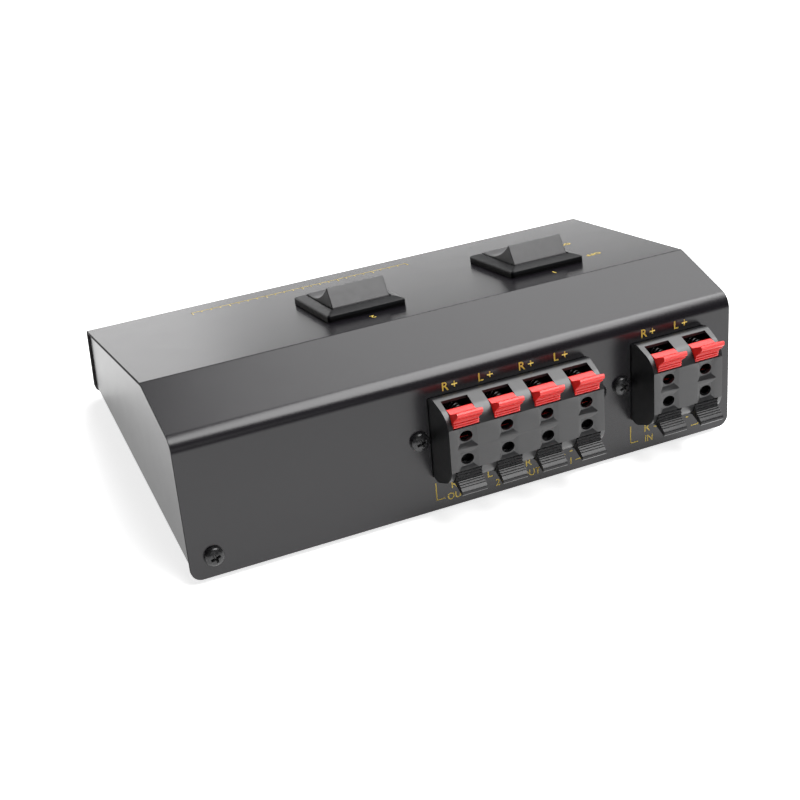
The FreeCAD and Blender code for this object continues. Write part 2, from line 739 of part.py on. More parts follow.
def coil(name, radius, wire, pitch, length):
    """Compression spring along +Z from the origin: a round wire swept along a helix."""
    helix = document.addObject("Part::Helix", name + "_helix")
    bind(helix, "Radius", radius)
    bind(helix, "Pitch", pitch)
    bind(helix, "Height", f"({length}) - 2 * ({wire})")
    bind(helix, "Placement.Base.z", wire)
    helix.Style = 1
    circle = document.addObject("Part::Circle", name + "_circle")
    circle.Placement = FreeCAD.Placement(FreeCAD.Vector(), FreeCAD.Rotation(FreeCAD.Vector(1, 0, 0), 90))
    bind(circle, "Radius", wire)
    bind(circle, "Placement.Base.x", radius)
    bind(circle, "Placement.Base.z", wire)
    sweep = document.addObject("Part::Sweep", name + "_wire")
    sweep.Sections = [circle]
    sweep.Spine = (helix, ["Edge1"])
    sweep.Solid = True
    sweep.Frenet = True
    return sweep


def make_lever_spring(block, number, offset, colour, sign):
    """Coil spring between the carrier and the back of a lever."""
    name = f"{block}_{colour}_spring_{number + 1}"
    length = "lever_back_depth - flange_back - 2 * seat_gap"
    wire = coil(name, "spring_radius", "spring_wire_radius", "spring_pitch", length)
    turned = aim(group(name + "_turned", [wire]), "y", "0", "flange_back + seat_gap",
                 f"{sign} * spring_offset")
    spring = group(name, [turned])
    PANEL.seat(spring, f"{block}_block_x + {offset} * column_pitch", "0", "block_rise")
    return finish(spring, name)


# ---------------------------------------------------------------- rocker switches

def make_switch_frame(switch):
    """Bezel and walls of a rocker switch, with the lugs that snap under the sheet."""
    bezel = box(f"{switch}_bezel", ("-bezel_width / 2", "bezel_width / 2"),
                ("-bezel_length / 2", "bezel_length / 2"), ("0", "bezel_height"))
    bevelled = document.addObject("Part::Chamfer", f"{switch}_bevel")
    document.recompute()
    bevelled.Base = bezel
    amount = size("bezel_bevel")
    bevelled.Edges = [(index, amount, amount) for index, edge in enumerate(bezel.Shape.Edges, start=1)
                      if edge.BoundBox.ZMin > 0.9 * size("bezel_height")]
    walls = box(f"{switch}_walls", ("-switch_half_width", "switch_half_width"),
                ("-switch_half_length", "switch_half_length"), ("-switch_depth", "0"))
    pieces = [bevelled, walls]
    for side, low, high in (("near", "switch_half_length", "switch_half_length + lug_reach"),
                            ("far", "-switch_half_length - lug_reach", "-switch_half_length")):
        pieces.append(box(f"{switch}_lug_{side}", ("-lug_length / 2", "lug_length / 2"), (low, high),
                          ("-cover_sheet - seat_gap - lug_height", "-cover_sheet - seat_gap")))
    hollow = box(f"{switch}_hollow", ("-opening_half_width", "opening_half_width"),
                 ("-opening_half_length", "opening_half_length"), ("-switch_depth - 1", "bezel_height + 1"))
    pin_half = "(opening_half_width + rocker_pin_reach + running_gap)"
    sockets = rod(f"{switch}_sockets", "x", "rocker_pin_radius + running_gap", f"2 * {pin_half}",
                  f"-{pin_half}", "0", "rocker_pivot_rise")
    frame = cut(f"{switch}_frame", joined(f"{switch}_frame_solid", pieces), [hollow, sockets])
    TOP.seat(frame, f"switch_{switch}_x", f"-switch_{switch}_run", "0")
    return finish(frame, f"switch_{switch}_frame")


def make_rocker(switch):
    """Saddle-shaped rocker with its pivot pins and the two bosses that guide the plungers."""
    outline = [("-rocker_skirt_half", "-rocker_skirt_drop"), ("-rocker_bottom_half", "-rocker_bottom_drop"),
               ("rocker_bottom_half", "-rocker_bottom_drop"), ("rocker_skirt_half", "-rocker_skirt_drop"),
               ("rocker_half_length", "rocker_peak"), ("-rocker_half_length", "rocker_peak")]
    block = prism(f"{switch}_rocker_form", outline, ("-rocker_width / 2", "rocker_width / 2"))
    saddle = rod(f"{switch}_saddle", "x", "saddle_radius", "2 * rocker_width", "-rocker_width", "0",
                 "rocker_peak - rocker_dip + saddle_radius")
    pin_half = "(opening_half_width + rocker_pin_reach)"
    pins = rod(f"{switch}_pins", "x", "rocker_pin_radius", f"2 * {pin_half}", f"-{pin_half}")
    bosses = []
    bores = [saddle]
    for sign in (1, -1):
        aside = f"{sign} * plunger_offset"
        bosses.append(rod(f"{switch}_boss_{sign + 1}", "z", "plunger_radius + boss_wall",
                          "boss_drop - rocker_bottom_drop / 2", aside, "0", "-boss_drop"))
        bores.append(rod(f"{switch}_bore_{sign + 1}", "z", "plunger_radius + running_gap",
                         "boss_drop + bore_rise + 1", aside, "0", "-boss_drop - 1"))
    rocker = cut(f"{switch}_rocker", joined(f"{switch}_rocker_solid", [block, pins] + bosses), bores)
    seat_on_rocker(rocker, switch)
    return finish(rocker, f"switch_{switch}_rocker")


def seat_on_rocker(piece, switch):
    """Put a piece that was made about the rocker's axis where the pressed rocker holds it."""
    return TOP.seat(piece, f"switch_{switch}_x", f"-switch_{switch}_run", "rocker_pivot_rise", "rocker_tilt")


def make_plungers(switch):
    """Two round-nosed plungers that the rocker drags across its contacts."""
    pins = []
    for sign in (1, -1):
        stem = rod(f"{switch}_stem_{sign + 1}", "z", "plunger_radius", "plunger_length",
                   f"{sign} * plunger_offset", "0", "-plunger_reach")
        pins.append(rounded(f"{switch}_plunger_{sign + 1}", stem, "plunger_nose_radius",
                            lambda edge: edge.Closed and edge.Vertexes[0].Z < -0.9 * size("plunger_reach")))
    return finish(seat_on_rocker(group(f"{switch}_plungers", pins), switch), f"switch_{switch}_plungers")


def make_plunger_springs(switch):
    """Coil springs above the plungers, inside the rocker's bores."""
    springs = []
    for sign in (1, -1):
        length = "plunger_reach - plunger_length + bore_rise - 2 * seat_gap"
        wire = coil(f"{switch}_coil_{sign + 1}", "plunger_spring_radius", "plunger_spring_wire",
                    "plunger_spring_pitch", length)
        springs.append(aim(group(f"{switch}_coil_held_{sign + 1}", [wire]), "z",
                           f"{sign} * plunger_offset", "0", "plunger_length - plunger_reach + seat_gap"))
    return finish(seat_on_rocker(group(f"{switch}_plunger_springs", springs), switch),
                  f"switch_{switch}_plunger_springs")


def make_seesaws(switch):
    """Two bent contact strips under the plungers, each with a round crease that tips on its middle blade."""
    rise = "seesaw_reach * tan(seesaw_angle)"
    half = "seesaw_thickness / 2"
    lower = [("-seesaw_reach", f"{rise} - {half}"), ("0", f"-{half}"), ("seesaw_reach", f"{rise} - {half}")]
    upper = [("seesaw_reach", f"{rise} + {half}"), ("0", half), ("-seesaw_reach", f"{rise} + {half}")]
    lid = [("-seesaw_reach", "2 * seesaw_reach"), ("seesaw_reach", "2 * seesaw_reach")]
    strips = []
    for sign in (1, -1):
        name = f"{switch}_seesaw_{sign + 1}"
        start = f"{sign} * plunger_offset - seesaw_width / 2"
        end = f"{sign} * plunger_offset + seesaw_width / 2"
        bead = rod(name + "_bead", "x", "seesaw_crease_radius", "seesaw_width", start)
        above = prism(name + "_above", upper + lid, (f"{start} - 1", f"{end} + 1"))
        strip = prism(name + "_strip", lower + upper, (start, end))
        solid = joined(name + "_solid", [strip, cut(name + "_crease", bead, [above])])
        groove = rod(name + "_groove", "x", "seesaw_groove_radius", "seesaw_width + 2", f"{start} - 1")
        strips.append(cut(name, solid, [groove]))
    strips = group(f"{switch}_seesaws", strips)
    TOP.seat(strips, f"switch_{switch}_x", f"-switch_{switch}_run", "-seesaw_drop", "-seesaw_angle")
    return finish(strips, f"switch_{switch}_seesaws")


def make_switch_base(switch):
    """Plate that closes the switch from below and holds its blades."""
    plate = box(f"{switch}_plate", ("-opening_half_width + seat_gap", "opening_half_width - seat_gap"),
                ("-opening_half_length + seat_gap", "opening_half_length - seat_gap"),
                ("-switch_depth", "-switch_depth + switch_base_thickness"))
    slots = []
    for sign in (1, -1):
        for place in (-1, 0, 1):
            slots.append(blade(f"{switch}_blade_slot_{sign + 1}_{place + 1}", sign, place, "slot_gap",
                               ("-switch_depth - 1", "-switch_depth + switch_base_thickness + 1")))
    base = cut(f"{switch}_base", plate, slots)
    TOP.seat(base, f"switch_{switch}_x", f"-switch_{switch}_run", "0")
    return finish(base, f"switch_{switch}_base")


def blade(name, sign, place, gap, z):
    """One blade, or with a gap the slot that it stands in."""
    middle_x = f"{sign} * plunger_offset"
    middle_y = f"{place} * blade_spacing"
    return box(name, (f"{middle_x} - blade_width / 2 - {gap}", f"{middle_x} + blade_width / 2 + {gap}"),
               (f"{middle_y} - blade_thickness / 2 - {gap}", f"{middle_y} + blade_thickness / 2 + {gap}"), z)


def make_blades(switch):
    """Six solder blades: two poles, each with a middle blade and one at either end."""
    end_top = "-seesaw_drop - seesaw_thickness / 2 - blade_gap"
    middle_top = "-seesaw_drop - seesaw_crease_radius - blade_gap"
    blades = []
    for sign in (1, -1):
        for place, top in ((-1, end_top), (0, middle_top), (1, end_top)):
            blades.append(blade(f"{switch}_blade_{sign + 1}_{place + 1}", sign, place, "0",
                                ("-switch_depth - blade_length", top)))
    blades = group(f"{switch}_blades", blades)
    TOP.seat(blades, f"switch_{switch}_x", f"-switch_{switch}_run", "0")
    return finish(blades, f"switch_{switch}_blades")


# ---------------------------------------------------------------- wires

def moved(point, x="0", y="0", z="0"):
    """A point of the case's frame, moved by an amount along each axis."""
    return tuple(f"{start} + ({shift})" for start, shift in zip(point, (x, y, z)))


def tab_point(block, count, number, sign):
    """Where a wire meets the solder tab of one contact strip."""
    n = "(carrier_back - solder_tab_length - seat_gap)"
    rise = f"(block_rise + {sign} * contact_offset)"
    return (f"({block}_block_x + {columns(count)[number]} * column_pitch)",
            f"({n} * cos(panel_lean) - {rise} * sin(panel_lean))",
            f"({n} * sin(panel_lean) + {rise} * cos(panel_lean))")


def blade_points(switch, sign, place, aside, drop):
    """Where a wire meets the lower end of one blade of a switch, and where it bends further down."""
    slide = f"({place} * blade_spacing - switch_{switch}_run)"
    points = []
    for below in ("seat_gap", drop):
        depth = f"(switch_depth + blade_length + {below})"
        points.append((f"(switch_{switch}_x + {sign} * plunger_offset + {aside})",
                       f"(ridge_y + {slide} * cos(top_slope) + {depth} * sin(top_slope))",
                       f"(ridge_z + {slide} * sin(top_slope) - {depth} * cos(top_slope))"))
    return points


def lead(name, route):
    """Insulated wire with round elbows that follows a route of points."""
    runs = []
    for number, ends in enumerate(zip(route, route[1:])):
        run = document.addObject("Part::Line", f"{name}_run_{number}")
        for end, point in zip("12", ends):
            for axis, text in zip("XYZ", point):
                bind(run, axis + end, text)
        runs.append(run)
    path = group(name + "_path", runs)
    section = document.addObject("Part::Circle", name + "_section")
    bind(section, "Radius", "wire_radius")
    across = [f"(({end}) - ({start}))" for start, end in zip(*route[:2])]
    section.Placement = FreeCAD.Placement(FreeCAD.Vector(), FreeCAD.Rotation(FreeCAD.Vector(1, 1, 0), 90))
    for axis, text in zip("xyz", route[0]):
        bind(section, f"Placement.Base.{axis}", text)
    bind(section, "Placement.Rotation.Axis.x", f"-{across[1]}")
    bind(section, "Placement.Rotation.Axis.y", across[0])
    bind(section, "Placement.Rotation.Axis.z", "0")
    bind(section, "Placement.Rotation.Angle",
         f"acos({across[2]} / sqrt({across[0]} ^ 2 + {across[1]} ^ 2 + {across[2]} ^ 2))")
    wire = document.addObject("Part::Sweep", name)
    wire.Sections = [section]
    wire.Spine = (path, [f"Edge{number + 1}" for number in range(len(runs))])
    wire.Solid = True
    wire.Transition = "Round corner"
    return wire


def feed(name, blade_end, tab_end):
    """Wire from a blade down to its run, along under the top and up to an upper solder tab."""
    return lead(name, [*blade_end,
                       moved(tab_end, y="-2 * wire_rise_offset", z="-2 * wire_rise_offset"),
                       moved(tab_end, y="-wire_rise_offset", z="-wire_lane / 4"),
                       tab_end])


def make_feeds():
    """Wires from the amplifier to the first switch, and from both switches to the loudspeakers."""
    speakers = []
    for switch, first in (("two", 0), ("one", 2)):
        for pole, sign in enumerate((1, -1)):
            speakers.append(feed(f"speaker_lead_{first + pole}",
                                 blade_points(switch, sign, 1, "0", "wire_drop"),
                                 tab_point("speaker", 4, first + pole, 1)))
    supply = [feed(f"supply_lead_{pole}", blade_points("one", sign, 0, "-wire_pair_offset", "wire_low_drop"),
                   tab_point("amplifier", 2, pole, 1)) for pole, sign in enumerate((1, -1))]
    for label, wires in (("speaker_leads", speakers), ("supply_leads", supply)):
        finish(CASE.seat(group(label + "_held", wires)), label)


def make_links():
    """Wires that carry both channels from the first switch on to the second."""
    links = []
    for pole, (sign, drop) in enumerate(((1, "wire_drop"), (-1, "2 * wire_radius"))):
        start = blade_points("one", sign, 0, "wire_pair_offset", drop)
        end = blade_points("two", sign, 0, "-wire_pair_offset", drop)
        lane = [moved(point, y="-wire_lane", z="-1.4 * wire_drop") for point in (start[0], end[0])]
        links.append(lead(f"link_lead_{pole}", [*start, *lane[:2 * pole], *reversed(end)]))
    return finish(CASE.seat(group("link_wires", links)), "link_leads")


def make_returns():
    """Two common wires from the amplifier's lower contacts to the lower contacts of the loudspeakers."""
    wires = []
    for pole in (0, 1):
        start = tab_point("amplifier", 2, pole, -1)
        step = f"-wire_bus_lane * {1 + pole}"
        drop = f"-wire_bus_lane * {1.6 + pole}"
        ends = [tab_point("speaker", 4, number, -1) for number in (pole, pole + 2)]
        pieces = [lead(f"return_main_{pole}", [start, moved(start, y=step), moved(start, y=step, z=drop),
                                               moved(ends[0], y=step, z=drop), moved(ends[0], y=step),
                                               ends[0]]),
                  lead(f"return_branch_{pole}", [ends[1], moved(ends[1], y=step),
                                                 moved(ends[1], y=step, z=drop)])]
        wires.append(joined(f"return_wire_{pole}", pieces))
    return finish(CASE.seat(group("return_wires", wires)), "return_leads")


# ---------------------------------------------------------------- assembly

def main():
    make_cover()
    make_chassis()
    make_feet()
    make_case_screws()
    make_block_screws()
    for block, count in BLOCKS:
        make_housing(block, count)
        make_carrier(block, count)
        make_contacts(block, count)
        for number, offset in enumerate(columns(count)):
            for colour, sign in SIDES:
                make_lever(block, number, offset, colour, sign)
                make_lever_spring(block, number, offset, colour, sign)
    for switch in SWITCHES:
        make_switch_frame(switch)
        make_rocker(switch)
        make_plungers(switch)
        make_plunger_springs(switch)
        make_seesaws(switch)
        make_switch_base(switch)
        make_blades(switch)
    make_feeds()
    make_links()
    make_returns()
    document.recompute()
    export()


def export():
    """Stop on any failed feature, then write each sub-part to its own file."""
    failed = [piece.Label for piece in document.Objects if {"Invalid", "Error"} & set(piece.State)]
    if failed:
        raise RuntimeError("features that failed: " + ", ".join(failed))
    os.makedirs("parts", exist_ok=True)
    for piece in finished:
        shape = piece.Shape
        if shape.isNull() or not shape.isValid():
            raise RuntimeError("no valid shape: " + piece.Label)
        shape.exportStep(f"parts/{piece.Label}.step")
        box_size = shape.BoundBox
        print(f"{piece.Label}: {len(shape.Solids)} solids, {shape.Volume:.1f} mm3, "
              f"{box_size.XLength:.1f} x {box_size.YLength:.1f} x {box_size.ZLength:.1f}")


main()
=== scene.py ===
"""Looks of a two-way loudspeaker selector box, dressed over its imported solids.

The box is a folded steel cover on a steel chassis. Two rocker switches sit in its sloping top and two
blocks of sprung push terminals in the panel that leans back behind it. Sizes are in millimetres and
angles in degrees, and every mesh is moved to metres in the frame's own axes when it is placed.
"""

from __future__ import annotations

import logging
import math
from collections import defaultdict
from dataclasses import dataclass, field
from enum import Enum
from typing import Any, Iterable, Sequence

import bmesh
import bpy
from mathutils import Matrix, Vector

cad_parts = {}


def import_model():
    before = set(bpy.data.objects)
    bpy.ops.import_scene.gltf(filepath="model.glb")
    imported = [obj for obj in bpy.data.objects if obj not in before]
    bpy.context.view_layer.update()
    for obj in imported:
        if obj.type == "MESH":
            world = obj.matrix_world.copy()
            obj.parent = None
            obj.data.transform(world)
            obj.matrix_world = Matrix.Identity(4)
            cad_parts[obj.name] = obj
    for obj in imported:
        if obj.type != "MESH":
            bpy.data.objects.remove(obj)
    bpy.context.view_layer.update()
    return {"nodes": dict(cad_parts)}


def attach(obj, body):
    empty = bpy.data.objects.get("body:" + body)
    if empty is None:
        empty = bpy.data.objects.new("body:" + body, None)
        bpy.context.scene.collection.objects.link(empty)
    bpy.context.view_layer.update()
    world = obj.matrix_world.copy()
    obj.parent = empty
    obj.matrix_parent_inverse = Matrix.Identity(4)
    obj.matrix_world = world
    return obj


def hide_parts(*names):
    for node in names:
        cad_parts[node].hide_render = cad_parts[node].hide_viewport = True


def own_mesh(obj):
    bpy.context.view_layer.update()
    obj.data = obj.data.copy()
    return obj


LOG = logging.getLogger("selector_box")
MM = 0.001
CASE_BODY = "case"
THROUGH = 3.0
SQUARE = ((-1.0, -1.0), (1.0, -1.0), (1.0, 1.0), (-1.0, 1.0))

Point = tuple[float, float]
Corner = tuple[float, float, float]
Colour = tuple[float, float, float]
Ring = list[Vector]
Solid = bmesh.types.BMesh
Piece = bpy.types.Object
Socket = bpy.types.NodeSocket


# ---------------------------------------------------------------- outlines

def rounded(corners: Sequence[Corner], steps: int = 8) -> list[Point]:
    """Turn corners into an outline whose corners are arcs.

    Args:
        corners: Corners in order, each with its two coordinates and its radius, 0 for a sharp one.
        steps: Straight pieces in each arc.

    Returns:
        The outline's points in order.
    """
    outline: list[Point] = []
    for index, (u, v, radius) in enumerate(corners):
        here = Vector((u, v))
        if radius <= 0.0:
            outline.append((u, v))
            continue
        back = (Vector(corners[index - 1][:2]) - here).normalized()
        ahead = (Vector(corners[(index + 1) % len(corners)][:2]) - here).normalized()
        half = back.angle(ahead) / 2.0
        centre = here + (back + ahead).normalized() * (radius / math.sin(half))
        first = here + back * (radius / math.tan(half)) - centre
        last = here + ahead * (radius / math.tan(half)) - centre
        sweep = math.atan2(first.x * last.y - first.y * last.x, first.dot(last))
        for step in range(steps + 1):
            spoke = Matrix.Rotation(sweep * step / steps, 2) @ first
            outline.append((centre.x + spoke.x, centre.y + spoke.y))
    return outline


def inset(corners: Sequence[Corner], amount: float) -> list[Corner]:
    """Move a closed outline of sharp corners inwards, and shrink its radii with it.

    Args:
        corners: Corners in anticlockwise order, each with its radius.
        amount: Distance that every side moves.

    Returns:
        The moved corners with their new radii.
    """
    moved: list[Corner] = []
    for index, (u, v, radius) in enumerate(corners):
        here = Vector((u, v))
        before = (here - Vector(corners[index - 1][:2])).normalized()
        after = (Vector(corners[(index + 1) % len(corners)][:2]) - here).normalized()
        one, two = Vector((-before.y, before.x)), Vector((-after.y, after.x))
        spot = here + (one + two) * (amount / (1.0 + one.dot(two)))
        moved.append((spot.x, spot.y, max(radius - amount, 0.0)))
    return moved


def circle(radius: float, z: float, steps: int = 40) -> Ring:
    """Ring of points about the Z axis."""
    turns = [math.tau * k / steps for k in range(steps)]
    return [Vector((radius * math.cos(turn), radius * math.sin(turn), z)) for turn in turns]


def rectangle(half_x: float, half_y: float, radius: float, z: float) -> Ring:
    """Ring of a rectangle with rounded corners, level at one height."""
    corners = [(x * half_x, y * half_y, radius) for x, y in SQUARE]
    return [Vector((x, y, z)) for x, y in rounded(corners, 5)]


# ---------------------------------------------------------------- meshes

class Axis(Enum):
    """Turn that lays something made along Z along another axis."""

    X = Matrix.Rotation(math.pi / 2.0, 4, "Y")
    Y = Matrix.Rotation(-math.pi / 2.0, 4, "X")
    Z = Matrix.Identity(4)


def bridge(mesh: Solid, one: list[bmesh.types.BMVert], two: list[bmesh.types.BMVert]) -> None:
    """Fill the band between two loops of vertices."""
    for k in range(len(one)):
        after = (k + 1) % len(one)
        mesh.faces.new((one[k], one[after], two[after], two[k]))


def prism(outline: Sequence[Point], low: float, high: float) -> Solid:
    """Solid with a constant section.

    Args:
        outline: Section in Y and Z.
        low: X where it starts.
        high: X where it ends.

    Returns:
        The closed mesh.
    """
    mesh = bmesh.new()
    near, far = ([mesh.verts.new((x, y, z)) for y, z in outline] for x in (low, high))
    mesh.faces.new(near)
    mesh.faces.new(far)
    bridge(mesh, near, far)
    bmesh.ops.recalc_face_normals(mesh, faces=mesh.faces[:])
    return mesh


def block(x: Point, y: Point, z: Point) -> Solid:
    """Rectangular block between two limits along each axis."""
    return prism([(y[0], z[0]), (y[1], z[0]), (y[1], z[1]), (y[0], z[1])], x[0], x[1])


def loft(rings: Sequence[Ring], closed: bool = False) -> Solid:
    """Skin rings of equal length.

    Args:
        rings: Rings of points in order.
        closed: True when the last ring joins the first, False when both ends are capped.

    Returns:
        The closed mesh.
    """
    mesh = bmesh.new()
    loops = [[mesh.verts.new(point) for point in ring] for ring in rings]
    for one, two in zip(loops, loops[1:] + (loops[:1] if closed else [])):
        bridge(mesh, one, two)
    if not closed:
        mesh.faces.new(loops[0])
        mesh.faces.new(loops[-1])
    bmesh.ops.recalc_face_normals(mesh, faces=mesh.faces[:])
    return mesh


def turned(profile: Sequence[Point]) -> Solid:
    """Solid of revolution about Z from a profile of radius and height, with its tips a hair wide."""
    return loft([circle(max(radius, 0.02), z) for radius, z in profile])


def rod(axis: Axis, radius: float, length: float, start: Point | Corner, steps: int = 24) -> Solid:
    """Round bar that starts at a point and runs along an axis."""
    mesh = loft([circle(radius, 0.0, steps), circle(radius, length, steps)])
    mesh.transform(Matrix.Translation(start) @ axis.value)
    return mesh


def drill(radius: float) -> Solid:
    """Cutter for a round hole through a sheet, along Y."""
    return rod(Axis.Y, radius, 2.0 * THROUGH, (0.0, -THROUGH, 0.0))


def add_object(name: str, data: bpy.types.ID) -> Piece:
    """Put a mesh, a curve, a lamp or a camera in the scene."""
    made = bpy.data.objects.new(name, data)
    bpy.context.scene.collection.objects.link(made)
    return made


def evaluated(source: Piece) -> bpy.types.Mesh:
    """Mesh that a curve or a modifier makes."""
    return bpy.data.meshes.new_from_object(source.evaluated_get(bpy.context.evaluated_depsgraph_get()))


def piece_from(name: str, meshes: Iterable[Solid]) -> Piece:
    """Make one object of several meshes and put it in the scene.

    Args:
        name: Name of the object.
        meshes: Meshes to join, which are used up.

    Returns:
        The object.
    """
    joined = bmesh.new()
    for mesh in meshes:
        data = bpy.data.meshes.new(name)
        mesh.to_mesh(data)
        mesh.free()
        joined.from_mesh(data)
        bpy.data.meshes.remove(data)
    data = bpy.data.meshes.new(name)
    joined.to_mesh(data)
    joined.free()
    return add_object(name, data)


def piece_from_curve(curve: bpy.types.Curve) -> Piece:
    """Make one object of a curve's or a text's mesh and put it in the scene.

    Args:
        curve: The curve, whose name the object takes.

    Returns:
        The object.
    """
    source = add_object(curve.name, curve)
    data = evaluated(source)
    bpy.data.objects.remove(source)
    return add_object(curve.name, data)


def fuse(piece: Piece, extra: Piece) -> None:
    """Add a second piece to a piece, as shells of one moulding.

    Args:
        piece: Piece that stays.
        extra: Piece that is used up.
    """
    joined = bmesh.new()
    for part in (piece, extra):
        joined.from_mesh(part.data)
    joined.to_mesh(piece.data)
    joined.free()
    bpy.data.objects.remove(extra)


def modify(piece: Piece, kind: str, **settings: Any) -> None:
    """Run one modifier over a piece's mesh.

    Args:
        piece: Piece whose mesh is replaced by the result.
        kind: Blender's word for the modifier.
        settings: The modifier's settings by name.
    """
    modifier = piece.modifiers.new(kind, kind)
    for name, value in settings.items():
        setattr(modifier, name, value)
    data, old = evaluated(piece), piece.data
    piece.modifiers.clear()
    piece.data = data
    bpy.data.meshes.remove(old)


def carve(piece: Piece, cutters: Iterable[Solid]) -> None:
    """Cut shapes out of a piece, one after the other.

    Args:
        piece: Piece whose mesh is cut.
        cutters: Shapes to cut out, which are used up.
    """
    for mesh in cutters:
        tool = piece_from("cutter", [mesh])
        modify(piece, "BOOLEAN", operation="DIFFERENCE", solver="EXACT", object=tool)
        bpy.data.objects.remove(tool)


def soften(piece: Piece, width: float, angle: float, segments: int = 2) -> None:
    """Roll a piece's sharp edges, as paint or a mould does.

    Args:
        piece: Piece whose mesh is still in millimetres.
        width: Width of the rolled edge.
        angle: Edges that turn by less than this stay as they are.
        segments: Faces across each rolled edge.
    """
    modify(piece, "BEVEL", width=width, segments=segments, limit_method="ANGLE",
           angle_limit=math.radians(angle), miter_outer="MITER_ARC", use_clamp_overlap=True)


def shade(piece: Piece, angle: float = 40.0) -> None:
    """Shade a piece smooth: each corner takes the mean direction of the faces that it rolls into.

    Args:
        piece: Piece whose mesh has its final size.
        angle: Faces that turn by more than this keep a sharp edge between them.
    """
    mesh = piece.data
    around: dict[int, list[bpy.types.MeshPolygon]] = defaultdict(list)
    for face in mesh.polygons:
        for vertex in face.vertices:
            around[vertex].append(face)
    limit = math.cos(math.radians(angle))
    directions: list[Vector] = []
    for face in mesh.polygons:
        for vertex in face.vertices:
            mean = sum((other.normal * other.area for other in around[vertex]
                        if other.normal.dot(face.normal) >= limit), Vector())
            directions.append(mean.normalized() if mean.length > 0.0 else face.normal)
    mesh.polygons.foreach_set("use_smooth", [True] * len(mesh.polygons))
    kept = mesh.attributes.new("custom_normal", "FLOAT_VECTOR", "CORNER")
    kept.data.foreach_set("vector", [part for direction in directions for part in direction])


def place(piece: Piece, where: Matrix, angle: float = 40.0) -> None:
    """Move a mesh from millimetres about its own origin to its place in the frame, and shade it."""
    piece.data.transform(where @ Matrix.Scale(MM, 4))
    shade(piece, angle)


# ---------------------------------------------------------------- materials

class Texture(Enum):
    """Kinds of noise: each one's node and the output that is used."""

    CLOUDS = ("TexNoise", "Fac")
    CELLS = ("TexVoronoi", "Distance")


@dataclass(frozen=True)
class Noise:
    """Noise with features about one pitch apart, stretched along each axis."""

    pitch: float
    detail: float = 2.0
    stretch: Corner = (1.0, 1.0, 1.0)
    kind: Texture = Texture.CLOUDS


class Graph:
    """Node tree of one procedural material."""

    def __init__(self, name: str) -> None:
        """Start a material that holds only its output and one shader.

        Args:
            name: Name of the material.
        """
        self.material = bpy.data.materials.new(name)
        self.material.use_nodes = True
        self.tree = self.material.node_tree
        self.tree.nodes.clear()
        self.output = self.tree.nodes.new("ShaderNodeOutputMaterial")
        self.shader = self.tree.nodes.new("ShaderNodeBsdfPrincipled")
        self.join(self.shader.outputs["BSDF"], self.output.inputs["Surface"])
        self.place = self.tree.nodes.new("ShaderNodeTexCoord").outputs["Object"]

    def join(self, start: Socket, end: Socket) -> None:
        """Link two sockets."""
        self.tree.links.new(start, end)

    def feed(self, node: bpy.types.Node, **inputs: Any) -> None:
        """Fill a node's inputs.

        Args:
            node: Node to fill.
            inputs: A socket or a plain value for each input, named with underscores for spaces.
        """
        for name, value in inputs.items():
            end = node.inputs[name.replace("_", " ")]
            if isinstance(value, Socket):
                self.join(value, end)
            else:
                end.default_value = value

    def node(self, kind: str, **inputs: Any) -> bpy.types.Node:
        """Add a node and fill its inputs."""
        made = self.tree.nodes.new(f"ShaderNode{kind}")
        self.feed(made, **inputs)
        return made

    def noise(self, noise: Noise) -> Socket:
        """Add a noise that lies still on the object.

        Args:
            noise: What the noise is like, in millimetres.

        Returns:
            Its value.
        """
        scale = tuple(share / MM for share in noise.stretch)
        where = self.node("Mapping", Vector=self.place, Scale=scale).outputs["Vector"]
        kind, output = noise.kind.value
        made = self.node(kind, Vector=where, Scale=1.0 / noise.pitch, Detail=noise.detail)
        return made.outputs[output]

    def spread(self, source: Socket, to: Point, span: Point = (0.3, 0.7)) -> Socket:
        """Map a span of a value to a range."""
        return self.node("MapRange", Value=source, From_Min=span[0], From_Max=span[1],
                         To_Min=to[0], To_Max=to[1]).outputs["Result"]

    def blend(self, source: Socket, one: Colour, two: Colour) -> Socket:
        """Blend between two colours.

        Args:
            source: Share of the second colour.
            one: First colour.
            two: Second colour.

        Returns:
            The colour.
        """
        mix = self.node("Mix")
        mix.data_type = "RGBA"
        self.feed(mix, A=(*one, 1.0), B=(*two, 1.0), Factor=source)
        return mix.outputs["Result"]


@dataclass(frozen=True)
class Finish:
    """A finish whose colour, gloss and relief each follow a noise.

    The depth is that of the relief. The contrast is the span of the patches' noise that runs from dark
    to light, where it isn't all of it.
    """

    name: str
    slot: str
    dark: Colour
    light: Colour
    gloss: Point
    patches: Noise = Noise(3.5, 3.0)
    haze: Noise = Noise(1.6, 3.0)
    relief: Noise | None = Noise(0.35)
    depth: float = 0.001
    contrast: Point | None = None
    specular: float = 0.5
    metallic: float = 0.0
    coat: float = 0.0
    depth_of_colour: float = 0.0

    def build(self) -> bpy.types.Material:
        """Make the material.

        Returns:
            The material.
        """
        graph = Graph(self.name)
        share = graph.noise(self.patches)
        if self.contrast:
            share = graph.spread(share, (0.0, 1.0), self.contrast)
        graph.feed(graph.shader, Base_Color=graph.blend(share, self.dark, self.light),
                   Roughness=graph.spread(graph.noise(self.haze), self.gloss),
                   Specular_IOR_Level=self.specular, Metallic=self.metallic,
                   Coat_Weight=self.coat, Coat_Roughness=0.2,
                   Subsurface_Weight=self.depth_of_colour, Subsurface_Scale=0.0008)
        if self.relief:
            bump = graph.node("Bump", Strength=1.0, Distance=self.depth * MM,
                              Height=graph.noise(self.relief))
            graph.feed(graph.shader, Normal=bump.outputs["Normal"])
        return graph.material


